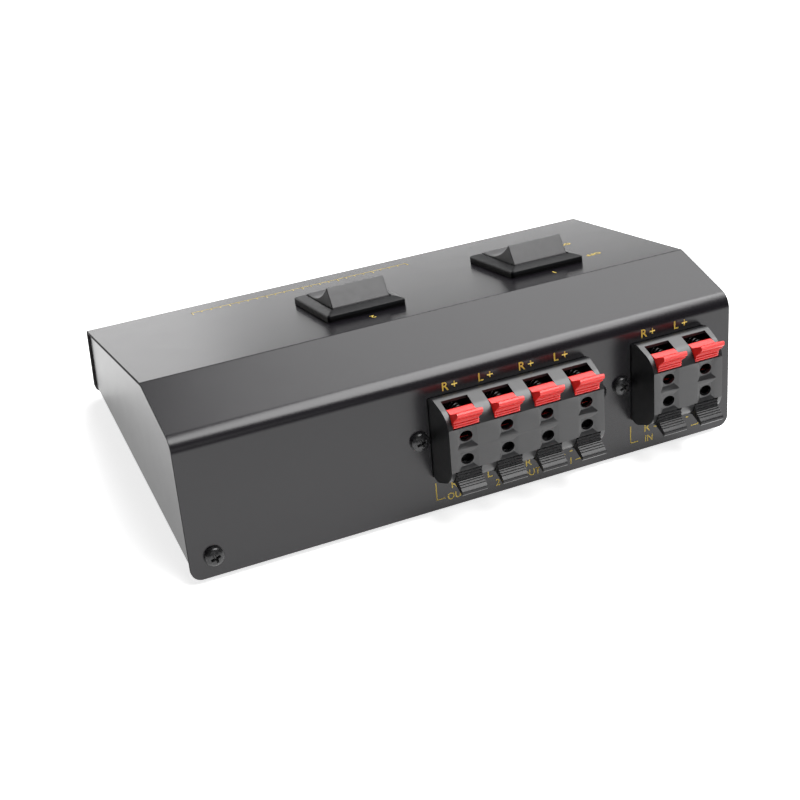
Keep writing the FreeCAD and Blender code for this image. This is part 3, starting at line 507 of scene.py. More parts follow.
@dataclass(frozen=True)
class SatinPaint(Finish):
    """Stoved black paint on sheet steel: broad soft gloss that changes a little from place to place."""

    slot: str = "painted_sheet"
    dark: Colour = (0.0055, 0.0046, 0.0066)
    light: Colour = (0.0075, 0.0066, 0.0088)
    gloss: Point = (0.255, 0.270)
    patches: Noise = Noise(22.0, 3.0)
    haze: Noise = Noise(7.0, 4.0)
    relief: Noise | None = None
    specular: float = 0.48


@dataclass(frozen=True)
class Moulding(Finish):
    """Injection-moulded plastic with a fine grain."""

    specular: float = 0.9


@dataclass(frozen=True)
class Metal(Finish):
    """Bare or plated metal with drawing lines along one axis."""

    patches: Noise = Noise(2.0, 3.0)
    haze: Noise = Noise(0.12, 3.0, (1.0, 0.08, 1.0))
    relief: Noise | None = Noise(0.12, 3.0, (1.0, 0.08, 1.0))
    depth: float = 0.002
    metallic: float = 1.0


@dataclass(frozen=True)
class Jacket(Finish):
    """Plastic insulation of a wire."""

    gloss: Point = (0.32, 0.45)
    patches: Noise = Noise(1.5, 3.0)
    haze: Noise = Noise(0.8)
    relief: Noise | None = Noise(0.5)
    depth: float = 0.004


FIBRES = Noise(0.5, 4.0, (0.15, 1.0, 1.0))


class Coat(Enum):
    """Every finish of the box."""

    PAINT = SatinPaint("satin_black_paint")
    # Darker, duller coat for the cover's cut ends: painted shade of the dark gap between the cover and the
    # inset end plates.
    PAINTED_SHADE_EDGE = SatinPaint("painted_shade_cut_edge", dark=(0.004, 0.004, 0.004), light=(0.007, 0.007, 0.007),
                          gloss=(0.70, 0.80), specular=0.12)
    HOUSING = Moulding("housing_plastic", "black_plastic", (0.006, 0.006, 0.007), (0.008, 0.008, 0.009),
                       (0.36, 0.40), specular=0.72)
    BLACK = Moulding("lever_black", "black_plastic", (0.009, 0.009, 0.010), (0.012, 0.012, 0.013),
                     (0.26, 0.30), specular=0.3)
    RED = Moulding("lever_red", "red_plastic", (0.78, 0.018, 0.014), (0.84, 0.022, 0.018),
                   (0.34, 0.38), specular=0.6, depth_of_colour=0.12)
    ROCKER = Moulding("rocker_black", "gloss_black_plastic", (0.036, 0.035, 0.037),
                      (0.042, 0.041, 0.043), (0.52, 0.58), relief=Noise(0.6))
    BEZEL = Moulding("bezel_black", "gloss_black_plastic", (0.007, 0.007, 0.008), (0.010, 0.010, 0.011),
                     (0.38, 0.42), relief=Noise(0.6), specular=0.15)
    NYLON = Moulding("natural_nylon", "nylon", (0.62, 0.60, 0.54), (0.72, 0.70, 0.64), (0.4, 0.5),
                     depth_of_colour=0.2)
    SCREW = Finish("blacked_steel", "black_screw", (0.010, 0.010, 0.011), (0.045, 0.045, 0.047),
                   (0.22, 0.38), Noise(0.7, 4.0), Noise(0.5, 3.0), Noise(0.25), 0.004, (0.45, 0.75),
                   metallic=0.35, coat=0.25)
    RUBBER = Finish("foot_rubber", "rubber", (0.012, 0.012, 0.012), (0.026, 0.026, 0.025), (0.7, 0.88),
                    Noise(4.0, 4.0), Noise(1.2, 3.0), Noise(0.4, 0.0, kind=Texture.CELLS), 0.012)
    # Board darkened nearly to black, far below its tan: painted shade of the recesses inside the lever
    # windows.
    BOARD = Finish("insulating_board", "tan_board", (0.020, 0.013, 0.008), (0.035, 0.023, 0.013),
                   (0.42, 0.6), FIBRES, FIBRES, FIBRES, 0.01)
    TIN = Metal("tin_plate", "tinned_metal", (0.78, 0.78, 0.76), (0.90, 0.90, 0.88), (0.14, 0.24))
    # Steel darkened nearly to black: painted shade of the cavities that the springs sit in; the glints
    # stay.
    WIRE = Metal("spring_wire", "spring_steel", (0.035, 0.035, 0.035), (0.05, 0.05, 0.05), (0.2, 0.3),
                 haze=Noise(0.12, 3.0), relief=Noise(0.12, 3.0))
    BRASS = Metal("strip_brass", "brass", (0.60, 0.40, 0.14), (0.76, 0.54, 0.22), (0.2, 0.34))
    RED_JACKET = Jacket("red_jacket", "wire_insulation", (0.369, 0.0164, 0.0123), (0.45, 0.02, 0.015))
    WHITE_JACKET = Jacket("white_jacket", "wire_insulation", (0.5084, 0.5084, 0.4756),
                          (0.62, 0.62, 0.58))
    BLACK_JACKET = Jacket("black_jacket", "wire_insulation", (0.01312, 0.01312, 0.01312),
                          (0.016, 0.016, 0.016))
    INK = Finish("yellow_ink", "print_ink", (0.60, 0.43, 0.06), (0.74, 0.55, 0.10), (0.45, 0.6),
                 Noise(0.35, 4.0), Noise(0.5), Noise(0.2), 0.002)


@dataclass
class Shop:
    """Where pieces get their coats: the part's nodes, the materials so far and the pieces so far."""

    nodes: dict[str, Piece]
    materials: dict[Coat, bpy.types.Material] = field(default_factory=dict)
    pieces: list[Piece] = field(default_factory=list)

    def coat(self, piece: Piece, *coats: Coat) -> None:
        """Give a piece the material of its coat.

        Args:
            piece: Piece whose material slots are filled.
            coats: Its coat, or the few that its faces choose from.
        """
        piece.data.materials.clear()
        for coat in coats:
            if coat not in self.materials:
                self.materials[coat] = coat.value.build()
            piece.data.materials.append(self.materials[coat])

    def coat_nodes(self, coats: dict[str, Coat]) -> None:
        """Coat nodes that are shown as they are."""
        for node, coat in coats.items():
            self.coat(self.nodes[node], coat)

    def send(self, piece: Piece, body: str, *coats: Coat) -> None:
        """Coat a piece in its place and let it ride on a body."""
        self.coat(piece, *coats)
        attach(piece, body)
        self.pieces.append(piece)

    def stand_in(self, piece: Piece, node: str, body: str, *coats: Coat) -> None:
        """Finish a piece that stands for a node of the part.

        Args:
            piece: Piece in its place.
            node: Node that it stands for.
            body: Body that it moves with.
            coats: Its coats, in the order of its material slots.
        """
        self.send(piece, body, *coats)
        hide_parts(node)


# ---------------------------------------------------------------- the case's planes

@dataclass(frozen=True)
class Tilt:
    """A panel of the case: a point on it and its turn about X."""

    y: float
    z: float
    angle: float

    def at(self, x: float = 0.0, along: float = 0.0, out: float = 0.0, turn: float = 0.0) -> Matrix:
        """Place for something made about its own origin.

        Args:
            x: Distance along the case.
            along: Distance along the panel's own Y.
            out: Distance along the panel's own Z.
            turn: Further turn about X.

        Returns:
            The placement, with its shift in metres.
        """
        angle = math.radians(self.angle)
        y = self.y + along * math.cos(angle) - out * math.sin(angle)
        z = self.z + along * math.sin(angle) + out * math.cos(angle)
        turned_by = Matrix.Rotation(math.radians(self.angle + turn), 4, "X")
        return Matrix.Translation(Vector((x, y, z)) * MM) @ turned_by

    def outward(self) -> Vector:
        """Direction of the panel's own Y."""
        angle = math.radians(self.angle)
        return Vector((0.0, math.cos(angle), math.sin(angle)))


@dataclass(frozen=True)
class CaseSizes:
    """Driving sizes of the case."""

    length: float = 170.0
    depth: float = 97.0
    front_height: float = 23.0
    lean: float = 11.0
    panel_length: float = 41.4
    facet_rise: float = 6.5
    facet_length: float = 25.5
    sheet: float = 1.0
    foot_height: float = 2.0
    rear_bend: float = 5.0
    ridge_bend: float = 2.0
    front_bend: float = 2.0

    @property
    def rear(self) -> Point:
        """Corner where the terminal panel meets the rear facet."""
        lean = math.radians(self.lean)
        return -self.panel_length * math.sin(lean), self.panel_length * math.cos(lean)

    @property
    def ridge(self) -> Point:
        """Corner where the rear facet meets the sloping top."""
        (y, z), rise = self.rear, math.radians(self.facet_rise)
        return y - self.facet_length * math.cos(rise), z + self.facet_length * math.sin(rise)

    @property
    def slope(self) -> float:
        """Slope of the top, in degrees."""
        return math.degrees(math.atan2(self.ridge[1] - self.front_height, self.depth + self.ridge[0]))

    @property
    def base(self) -> Tilt:
        """The case's own upright frame, at the foot of the terminal panel."""
        return Tilt(self.depth / 2.0, self.foot_height, 0.0)

    @property
    def panel(self) -> Tilt:
        """The terminal panel: its Y looks outwards and its Z runs up it."""
        return Tilt(self.depth / 2.0, self.foot_height, self.lean)

    @property
    def top(self) -> Tilt:
        """The sloping top: its Y runs up to the ridge and its Z looks outwards."""
        return Tilt(self.depth / 2.0 + self.ridge[0], self.foot_height + self.ridge[1], self.slope)

    def corners(self) -> list[Corner]:
        """Corners of the case's end, with the radii of the bends."""
        return [(-self.depth, 0.0, 0.0), (0.0, 0.0, 0.0), (*self.rear, self.rear_bend),
                (*self.ridge, self.ridge_bend), (-self.depth, self.front_height, self.front_bend)]


# ---------------------------------------------------------------- sub-assemblies

@dataclass
class SubAssembly:
    """What the sub-assemblies share: the case's sizes and the shop that finishes their pieces."""

    case: CaseSizes
    shop: Shop


@dataclass
class Cover(SubAssembly):
    """The folded cover: front, sloping top, rear facet and terminal panel in one sheet."""

    corner_radius: float = 3.2
    edge: float = 0.3
    end_facing: float = 0.9
    bend_steps: int = 12
    corner_steps: int = 10
    cutters: list[Solid] = field(default_factory=list)

    def cut(self, mesh: Solid, where: Matrix) -> None:
        """Keep a cutter at its place, in millimetres of the frame."""
        mesh.transform(Matrix.Scale(1.0 / MM, 4) @ where @ Matrix.Scale(MM, 4))
        self.cutters.append(mesh)

    def build(self) -> None:
        """Fold the sheet, cut it and roll its edges."""
        sizes = self.case
        outside = sizes.corners()
        inside = inset(outside, sizes.sheet)
        inside[0] = (-sizes.depth + sizes.sheet, 0.0, 0.0)
        inside[1] = (-sizes.sheet / math.cos(math.radians(sizes.lean)), 0.0, 0.0)
        outer, inner = rounded(outside, self.bend_steps), rounded(inside, self.bend_steps)
        path = outer[1:] + outer[:1] + inner[:1] + inner[:0:-1]
        half = sizes.length / 2.0
        cover = piece_from("folded_cover", [prism(path, -half, half)])
        cover.data.transform(Matrix.Translation((0.0, sizes.depth / 2.0, sizes.foot_height)))
        for side in (-1.0, 1.0):
            self.cut(self._corner(side), sizes.panel.at(side * half))
            self.cut(self._corner(side), sizes.base.at(side * half, -sizes.depth))
        carve(cover, self.cutters)
        soften(cover, self.edge, 40.0, 3)
        place(cover, Matrix.Identity(4))
        self.shop.stand_in(cover, "top_cover", CASE_BODY, Coat.PAINT, Coat.PAINTED_SHADE_EDGE)
        # Faces that look along X, the cut ends, take the second coat: painted shade of the gap beside the
        # end plates.
        ends = [int(abs(face.normal.x) > self.end_facing) for face in cover.data.polygons]
        cover.data.polygons.foreach_set("material_index", ends)

    def _corner(self, side: float) -> Solid:
        """Cutter that rounds one lower corner of an upright panel.

        Args:
            side: 1 for the corner at high X, -1 for the other.

        Returns:
            The cutter, about the corner.
        """
        radius, over = self.corner_radius, 1.0
        turns = [math.pi / 2.0 * step / self.corner_steps for step in range(self.corner_steps + 1)]
        arc = [(radius * (1.0 - math.cos(turn)), radius * (1.0 - math.sin(turn))) for turn in turns]
        mesh = prism([(-over, radius), *arc, (radius, -over), (-over, -over)], -THROUGH, THROUGH)
        mesh.transform(Matrix(((0.0, -side, 0.0, 0.0), (1.0, 0.0, 0.0, 0.0), (0.0, 0.0, 1.0, 0.0),
                               (0.0, 0.0, 0.0, 1.0))))
        bmesh.ops.recalc_face_normals(mesh, faces=mesh.faces[:])
        return mesh


@dataclass
class Chassis(SubAssembly):
    """Floor and end plates, and the feet they stand on."""

    foot_radius: float = 4.5
    foot_inset: float = 14.0

    def build(self) -> None:
        """Paint the chassis and press on its feet."""
        self.shop.coat_nodes({"chassis_base": Coat.PAINT})
        height, radius = self.case.foot_height, self.foot_radius
        profile = [(0.0, 0.0), (radius - 1.3, 0.0), (radius - 0.8, 0.12), (radius - 0.5, 0.45),
                   (radius, height - 0.25), (radius - 0.1, height - 0.05), (radius - 0.3, height),
                   (0.0, height)]
        reach_x, reach_y = (span / 2.0 - self.foot_inset for span in (self.case.length, self.case.depth))
        meshes: list[Solid] = []
        for spot in ((x * reach_x, y * reach_y, 0.0) for x in (-1.0, 1.0) for y in (-1.0, 1.0)):
            meshes.append(turned(profile))
            meshes[-1].transform(Matrix.Translation(spot))
        feet = piece_from("stick_on_feet", meshes)
        place(feet, Matrix.Identity(4))
        self.shop.stand_in(feet, "rubber_feet", CASE_BODY, Coat.RUBBER)


@dataclass
class PanScrew:
    """Pan-head screw with a cross recess, made along its own Y."""

    head_radius: float = 2.75
    head_height: float = 1.9
    shank_radius: float = 1.4
    cross_length: float = 3.5
    cross_width: float = 0.85
    cross_depth: float = 1.2
    edge: float = 0.07

    def build(self, length: float) -> Piece:
        """Build the screw about its own origin.

        Args:
            length: Length of its shank.

        Returns:
            The screw, in millimetres.
        """
        head, high, shank = self.head_radius, self.head_height, self.shank_radius
        dome = [(head * math.sin(angle), high * (0.42 + 0.58 * math.cos(angle)))
                for angle in (step * math.pi / 20.0 for step in range(9, 0, -1))]
        profile = [(0.0, -length), (shank - 0.5, -length), (shank, -length + 0.9), (shank, -0.02),
                   (head, 0.0), (head, 0.35 * high), *dome, (0.0, high)]
        made = piece_from("screw", [turned(profile)])
        carve(made, [self._slot(0.0), self._slot(math.pi / 2.0)])
        soften(made, self.edge, 35.0)
        made.data.transform(Axis.Y.value)
        return made

    def _slot(self, turn: float) -> Solid:
        """One bar of the cross, narrower at its foot.

        Args:
            turn: Its turn about the screw, in radians.

        Returns:
            The cutter.
        """
        long, wide, top = self.cross_length / 2.0, self.cross_width / 2.0, self.head_height
        mesh = loft([[Vector((x * long * shrink, y * wide * taper, z)) for x, y in SQUARE]
                     for shrink, taper, z in ((0.35, 0.6, top - self.cross_depth), (1.1, 1.1, top + 0.4))])
        mesh.transform(Matrix.Rotation(turn, 4, "Z"))
        return mesh


@dataclass
class ScrewSet:
    """Screws of one kind that share a node."""

    name: str
    node: str
    length: float
    spots: list[Matrix]
    shop: Shop
    screw: PanScrew = field(default_factory=PanScrew)

    def build(self) -> None:
        """Place a copy of the screw at every spot, each turned a little differently."""
        pattern = self.screw.build(self.length)
        copies: list[Solid] = []
        for index, spot in enumerate(self.spots):
            copies.append(bmesh.new())
            copies[-1].from_mesh(pattern.data)
            copies[-1].transform(spot @ Matrix.Rotation(0.9 * index + 0.3, 4, "Y") @ Matrix.Scale(MM, 4))
        bpy.data.objects.remove(pattern)
        screws = piece_from(self.name, copies)
        shade(screws)
        self.shop.stand_in(screws, self.node, CASE_BODY, Coat.SCREW)


class Row(Enum):
    """The two rows of a terminal block: which way each lies from the block's middle."""

    RED = 1.0
    BLACK = -1.0

    @property
    def word(self) -> str:
        """The row's word in the names of nodes and joints."""
        return self.name.lower()


@dataclass
class TerminalBlock(SubAssembly):
    """A moulded block with a red and a black push lever for each of its columns."""

    name: str
    x: float
    columns: int
    rise: float = 22.8
    pitch: float = 12.5
    side_margin: float = 0.3
    draft: float = 3.5
    half_height: float = 13.0
    depth: float = 11.0
    shoulder: float = 2.0
    shoulder_radius: float = 3.4
    heel: float = 1.1
    heel_depth: float = 0.1
    heel_radius: float = 0.2
    knee: Point = (9.6, 10.1)
    knee_radius: float = 6.2
    face_half: float = 6.4
    face_radius: float = 0.5
    edge: float = 0.22
    front_wall: float = 1.8
    ceiling: float = 11.4
    window: float = 8.0
    window_back: float = 4.0
    hole: Point = (1.95, 1.6)
    row_spacing: float = 6.9
    funnel: float = 6.2
    funnel_depth: float = 0.7
    flange: Point = (-3.0, -1.0)
    flange_lip: float = 1.1
    flange_wall: float = 2.0
    flange_edge: float = 0.12
    ear_reach: float = 6.3
    ear_screw: float = 3.1
    ear_height: float = 9.0
    lever_width: float = 7.7
    lever_edge: float = 0.035
    pivot: Point = (8.3, 7.3)
    pivot_hole: float = 1.05
    pivot_pocket: float = 0.85
    spring_line: float = 9.4
    spring_span: Point = (-2.95, 6.85)
    spring_turns: float = 7.5
    spring_radius: float = 1.5
    wire_radius: float = 0.2
    cutout_gap: float = 0.25

    @property
    def half_width(self) -> float:
        """Half of the block's width at the panel."""
        return self.columns * self.pitch / 2.0 - self.side_margin

    def middles(self) -> list[float]:
        """X of each column from the block's middle."""
        return [((self.columns - 1) / 2.0 - k) * self.pitch for k in range(self.columns)]

    def seat(self, x: float = 0.0) -> Matrix:
        """Place of something made about the block's middle, or about a column's."""
        return self.case.panel.at(self.x + x, 0.0, self.rise)

    def screw_spots(self) -> list[Matrix]:
        """Places of the two screws beside the block."""
        reach = self.columns * self.pitch / 2.0 + self.ear_screw
        return [self.seat(side * reach) for side in (1.0, -1.0)]

    def cut_cover(self, cover: Cover, screw_radius: float) -> None:
        """Cut the block's window and screw holes through the cover.

        Args:
            cover: The cover.
            screw_radius: Radius of the screw holes.
        """
        half_x = self.half_width + self.cutout_gap
        half_z = self.half_height - self.heel + self.cutout_gap
        cover.cut(block((-half_x, half_x), (-THROUGH, THROUGH), (-half_z, half_z)), self.seat())
        for spot in self.screw_spots():
            cover.cut(drill(screw_radius), spot)

    def _profile(self) -> list[Corner]:
        """Side outline of the block: its lower half and the mirror of that.

        Returns:
            The corners, in depth and height.
        """
        foot = self.half_height - self.heel
        lower = [(self.flange[0], -foot, 0.0), (self.heel_depth, -foot, self.heel_radius),
                 (self.shoulder, -self.half_height, self.shoulder_radius),
                 (self.knee[0], -self.knee[1], self.knee_radius),
                 (self.depth, -self.face_half, self.face_radius)]
        return lower + [(y, -z, radius) for y, z, radius in reversed(lower)]

    def _column(self, middle: float) -> list[Solid]:
        """What one column takes out of the block.

        Args:
            middle: X of the column from the block's middle.

        Returns:
            The lever windows, and for each row its wire hole, funnel and pivot pockets.
        """
        half, beyond, front = self.window / 2.0, self.half_height + 1.0, self.depth + 1.0
        rear, inner, back = self.flange[0] - 1.0, self.depth - self.front_wall, self.window_back
        below = [(rear, -self.ceiling), (back, -self.ceiling), (back, -beyond), (front, -beyond),
                 (front, -self.face_half), (inner, -self.face_half)]
        outline = below + [(y, -z) for y, z in reversed(below)]
        cutters = [prism(outline, middle - half, middle + half)]
        mouth, throat, reach = self.funnel / 2.0, self.hole[0] + 0.02, half + self.pivot_pocket
        flare = ((throat, self.depth - self.funnel_depth), (mouth, self.depth),
                 (mouth + 0.3, self.depth + 0.3))
        for row in Row:
            z = row.value * self.row_spacing / 2.0
            hole = rod(Axis.Y, 1.0, 3.0, (0.0, 0.0, 0.0), 32)
            hole.transform(Matrix.Translation((middle, inner - 0.5, z))
                           @ Matrix.Diagonal((self.hole[0], 1.0, self.hole[1], 1.0)))
            cutters += [hole,
                        loft([[Vector((middle + u * size, y, z + v * size)) for u, v in SQUARE]
                              for size, y in flare]),
                        rod(Axis.X, self.pivot_hole, 2.0 * reach,
                            (middle - reach, self.pivot[0], row.value * self.pivot[1]))]
        return cutters

    def housing(self) -> None:
        """Build the moulded block with its flange and ears."""
        body = prism(rounded(self._profile(), 8), -self.half_width, self.half_width)
        slope = math.tan(math.radians(self.draft))
        for vert in body.verts:
            vert.co.x -= math.copysign(slope * vert.co.y, vert.co.x)
        made = piece_from(f"{self.name}_block_moulding", [body])
        for middle in self.middles():
            carve(made, self._column(middle))
        soften(made, self.edge, 35.0)
        ears = self.columns * self.pitch / 2.0 + self.ear_reach
        sides = ((ears, self.ear_height / 2.0),
                 (self.half_width + self.flange_lip, self.half_height + self.flange_lip))
        rim = piece_from("flange", [block((-x, x), self.flange, (-z, z)) for x, z in sides])
        within = self.half_width - self.flange_wall
        carve(rim, [block((-within, within), (-9.0, 9.0), (-self.ceiling, self.ceiling))])
        soften(rim, self.flange_edge, 35.0)
        fuse(made, rim)
        place(made, self.seat())
        self.shop.stand_in(made, f"{self.name}_terminal_housing", CASE_BODY, Coat.HOUSING)

    def works(self, row: Row, column: int, middle: float) -> None:
        """Build one push lever with its trunnions, and the coil between the carrier and its back.

        Args:
            row: Row that they are in.
            column: Their column, from 1.
            middle: X of the column from the block's middle.
        """
        seat, stem = self.seat(middle), f"{self.name}_{row.word}"
        lever = piece_from(f"{stem}_thumb_lever_{column}", LeverShape().meshes(self.lever_width))
        soften(lever, self.lever_edge, 25.0)
        if row is Row.BLACK:
            lever.data.transform(Matrix.Scale(-1.0, 4, (0.0, 0.0, 1.0)))
            lever.data.flip_normals()
        place(lever, seat)
        node = f"{stem}_lever_{column}"
        self.shop.stand_in(lever, node, node, Coat.RED if row is Row.RED else Coat.BLACK)
        start, end = self.spring_span
        coil = Coil(self.spring_radius, self.wire_radius, self.spring_turns, end - start)
        made = coil.build(f"{stem}_coil_{column}")
        foot = Vector((0.0, start, row.value * self.spring_line))
        made.data.transform(Matrix.Translation(foot) @ Axis.Y.value)
        place(made, seat, 60.0)
        # The coil's near-black steel is painted shade of the lever window that it sits in.
        self.shop.stand_in(made, f"{stem}_spring_{column}", CASE_BODY, Coat.WIRE)
        tuple(self.case.panel.outward())
        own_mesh(made)

    def build(self) -> None:
        """Build the block and everything that it holds."""
        self.housing()
        for column, middle in enumerate(self.middles(), 1):
            for row in Row:
                self.works(row, column, middle)
        # The carrier's near-black board coat is painted shade of the recess behind the levers.
        self.shop.coat_nodes({f"{self.name}_contact_carrier": Coat.BOARD,
                              f"{self.name}_contacts": Coat.TIN})


@dataclass(frozen=True)
class LeverShape:
    """Side outline of a push lever, in depth from the panel and height from the block's middle."""

    foot: Point = (10.6, 6.55)
    root: Point = (11.05, 9.0)
    under: Point = (13.95, 11.15)
    tip: Point = (13.95, 12.0)
    tip_top: Point = (13.55, 12.4)
    crease: Point = (9.35, 10.45)
    ledge: Point = (7.6, 10.8)
    back_top: Point = (6.9, 10.8)
    back_foot: Point = (6.9, 5.8)
    arm_root: Point = (6.1, 5.3)
    arm_end: Point = (6.65, 3.4)
    arm_width: float = 0.82
    arm_front: Point = (7.75, 5.3)
    hook: Point = (9.05, 6.55)
    pivot: Point = (8.3, 7.3)
    pin_radius: float = 1.0
    pin_reach: float = 4.8
    lip: float = 0.4
    rib_height: float = 0.28
    rib: tuple[Point, ...] = ((0.3, 0.0), (0.45, 1.0), (0.85, 1.0), (1.0, 0.0))

    def ribs(self, start: Point, end: Point, count: int, pitches: float) -> list[Point]:
        """Points of the ribs along one stretch of the thumb face.

        Args:
            start: Where the stretch starts.
            end: Where it ends.
            count: Number of ribs.
            pitches: Number of rib widths that the stretch is long.

        Returns:
            The points of every rib in order.
        """
        run = Vector(end) - Vector(start)
        lift = Vector((run.y, -run.x)).normalized() * self.rib_height
        spots = [Vector(start) + run * ((rib + share) / pitches) + lift * raised
                 for rib in range(count) for share, raised in self.rib]
        return [(spot.x, spot.y) for spot in spots]

    def meshes(self, width: float) -> list[Solid]:
        """Build the lever about the middle of its column.

        Args:
            width: Width of its blade.

        Returns:
            The blade and the pin.
        """
        (arm_x, arm_z), (depth, height) = self.arm_end, self.under
        lip = [(depth - back * self.lip, height + up * self.lip)
               for back, up in ((1.0, -0.74), (0.3, -0.1), (0.0, 0.4))]
        outline = [self.foot, *self.ribs(self.foot, self.root, 3, 3.0),
                   *self.ribs(self.root, self.under, 3, 4.6), *lip, self.tip, self.tip_top, self.crease,
                   self.ledge, self.back_top, self.back_foot, self.arm_root, (arm_x, arm_z),
                   (arm_x + self.arm_width, arm_z), self.arm_front, self.hook]
        pin = rod(Axis.X, self.pin_radius, 2.0 * self.pin_reach, (-self.pin_reach, *self.pivot))
        return [prism(outline, -width / 2.0, width / 2.0), pin]


@dataclass(frozen=True)
class Coil:
    """Compression spring along Z with closed ends."""

    radius: float
    wire: float
    turns: float
    length: float
    steps: int = 22
    closed_turns: float = 0.8
    closed_pitch: float = 1.6

    def build(self, name: str) -> Piece:
        """Sweep the round wire along the coil.

        Args:
            name: Name of the piece.

        Returns:
            The coil, in millimetres.
        """
        curve = bpy.data.curves.new(name, "CURVE")
        curve.dimensions = "3D"
        curve.bevel_depth = self.wire
        curve.bevel_resolution = 2
        curve.use_fill_caps = True
        count = int(self.turns * self.steps)
        spline = curve.splines.new("POLY")
        spline.points.add(count)
        closed, flat = self.closed_pitch * self.wire, self.closed_turns
        free = self.length - 2.0 * self.wire - 2.0 * closed
        for k, point in enumerate(spline.points):
            turn = self.turns * k / count
            rise = min(max((turn - flat) / (self.turns - 2.0 * flat), 0.0), 1.0)
            z = self.wire + closed * min(turn / flat, 1.0) + free * rise
            z += closed * max((turn - self.turns + flat) / flat, 0.0)
            angle = math.tau * turn
            point.co = (self.radius * math.cos(angle), self.radius * math.sin(angle), z, 1.0)
        return piece_from_curve(curve)


@dataclass
class RockerSwitch(SubAssembly):
    """A rocker switch in the sloping top: bezel, rocker and the works below."""

    name: str
    x: float
    run: float
    bezel: Point = (12.2, 14.7)
    bezel_rim: float = 2.8
    bezel_edge: float = 1.9
    opening: Point = (9.2, 11.05)
    wall: float = 1.7
    depth: float = 16.0
    tilt: float = 16.0
    pivot_rise: float = 0.1
    rocker_half: float = 9.0
    peak: Point = (9.3, 6.0)
    dip: float = 2.1
    skirt: Point = (10.7, -0.3)
    bottom: Point = (9.6, -3.2)
    pin_radius: float = 1.5
    boss: Point = (4.5, 2.2)
    boss_drop: float = 7.5
    cutout_gap: float = 0.25
    lug_half: float = 3.5
    lug_reach: float = 0.9
    lug_lip: float = 0.8
    lug_length: float = 3.0
    rocker_edge: float = 0.32
    works_edge: float = 0.15

    def seat(self, out: float = 0.0, turn: float = 0.0) -> Matrix:
        """Place of something made about the middle of the switch's opening."""
        return self.case.top.at(self.x, -self.run, out, turn)

    def cut_cover(self, cover: Cover) -> None:
        """Cut the switch's window through the cover."""
        half_x, half_y = (gap + self.wall + self.cutout_gap for gap in self.opening)
        cover.cut(block((-half_x, half_x), (-half_y, half_y), (-THROUGH, THROUGH)), self.seat())

    def frame(self) -> None:
        """Build the bezel, the walls below it and its snap lugs as one hollow moulding."""
        bezel, gap, edge, rim = self.bezel, self.opening, self.bezel_edge, self.bezel_rim
        section = ((bezel, 0.0, 0.9, 0.0), (bezel, 0.0, 0.9, edge - 0.25), (bezel, -0.12, 0.85, edge),
                   (bezel, -0.45, 0.7, edge + 0.22), (gap, 0.55, 0.6, rim), (gap, 0.22, 0.5, rim - 0.06),
                   (gap, 0.03, 0.4, rim - 0.3), (gap, 0.0, 0.35, rim - 0.6), (gap, 0.0, 0.35, -self.depth),
                   (gap, self.wall, 0.5, -self.depth), (gap, self.wall, 0.5, -0.01))
        rings = [rectangle(half[0] + grow, half[1] + grow, radius, z) for half, grow, radius, z in section]
        made = piece_from(f"switch_{self.name}_bezel", [loft(rings, closed=True)])
        fuse(made, piece_from("lugs", [self._lug(side) for side in (1.0, -1.0)]))
        place(made, self.seat())
        self.shop.stand_in(made, f"switch_{self.name}_frame", CASE_BODY, Coat.BEZEL)

    def _lug(self, side: float) -> Solid:
        """Snap lug that holds the frame under the sheet.

        Args:
            side: 1 for the end towards the ridge, -1 for the other.

        Returns:
            The lug.
        """
        wall, top = self.opening[1] + self.wall, -self.case.sheet - 0.05
        reach = wall + self.lug_reach
        outline = [(side * wall, top), (side * reach, top), (side * reach, top - self.lug_lip),
                   (side * wall, top - self.lug_length)]
        return prism(outline, -self.lug_half, self.lug_half)

    def rocker(self) -> None:
        """Build the saddle-shaped rocker with its pins and bosses."""
        reach, peak = self.peak
        radius = (reach ** 2 + self.dip ** 2) / (2.0 * self.dip)
        spread = math.asin(reach / radius)
        saddle = [(radius * math.sin(angle), peak - self.dip + radius * (1.0 - math.cos(angle)))
                  for angle in (spread * (1.0 - step / 10.0) for step in range(21))]
        (skirt_y, skirt_z), (low_y, low_z) = self.skirt, self.bottom
        outline = [(-skirt_y, skirt_z), (-low_y, low_z), (low_y, low_z), (skirt_y, skirt_z), *saddle]
        made = piece_from(f"switch_{self.name}_paddle",
                          [prism(outline, -self.rocker_half, self.rocker_half)])
        soften(made, self.rocker_edge, 30.0, 3)
        pins = self.opening[0] + 1.0
        below = [rod(Axis.X, self.pin_radius, 2.0 * pins, (-pins, 0.0, 0.0))]
        below += [rod(Axis.Z, self.boss[1], self.boss_drop + low_z + 0.2,
                      (side * self.boss[0], 0.0, -self.boss_drop)) for side in (1.0, -1.0)]
        works = piece_from("works", below)
        soften(works, self.works_edge, 35.0)
        fuse(made, works)
        place(made, self.seat(self.pivot_rise, self.tilt))
        self.shop.stand_in(made, f"switch_{self.name}_rocker", f"rocker_{self.name}", Coat.ROCKER)

    def build(self) -> None:
        """Build the switch and finish the works that stay as they are."""
        self.frame()
        self.rocker()
        inner = {"plungers": Coat.NYLON, "plunger_springs": Coat.WIRE, "seesaws": Coat.BRASS,
                 "base": Coat.BOARD, "blades": Coat.BRASS}
        self.shop.coat_nodes({f"switch_{self.name}_{part}": coat for part, coat in inner.items()})


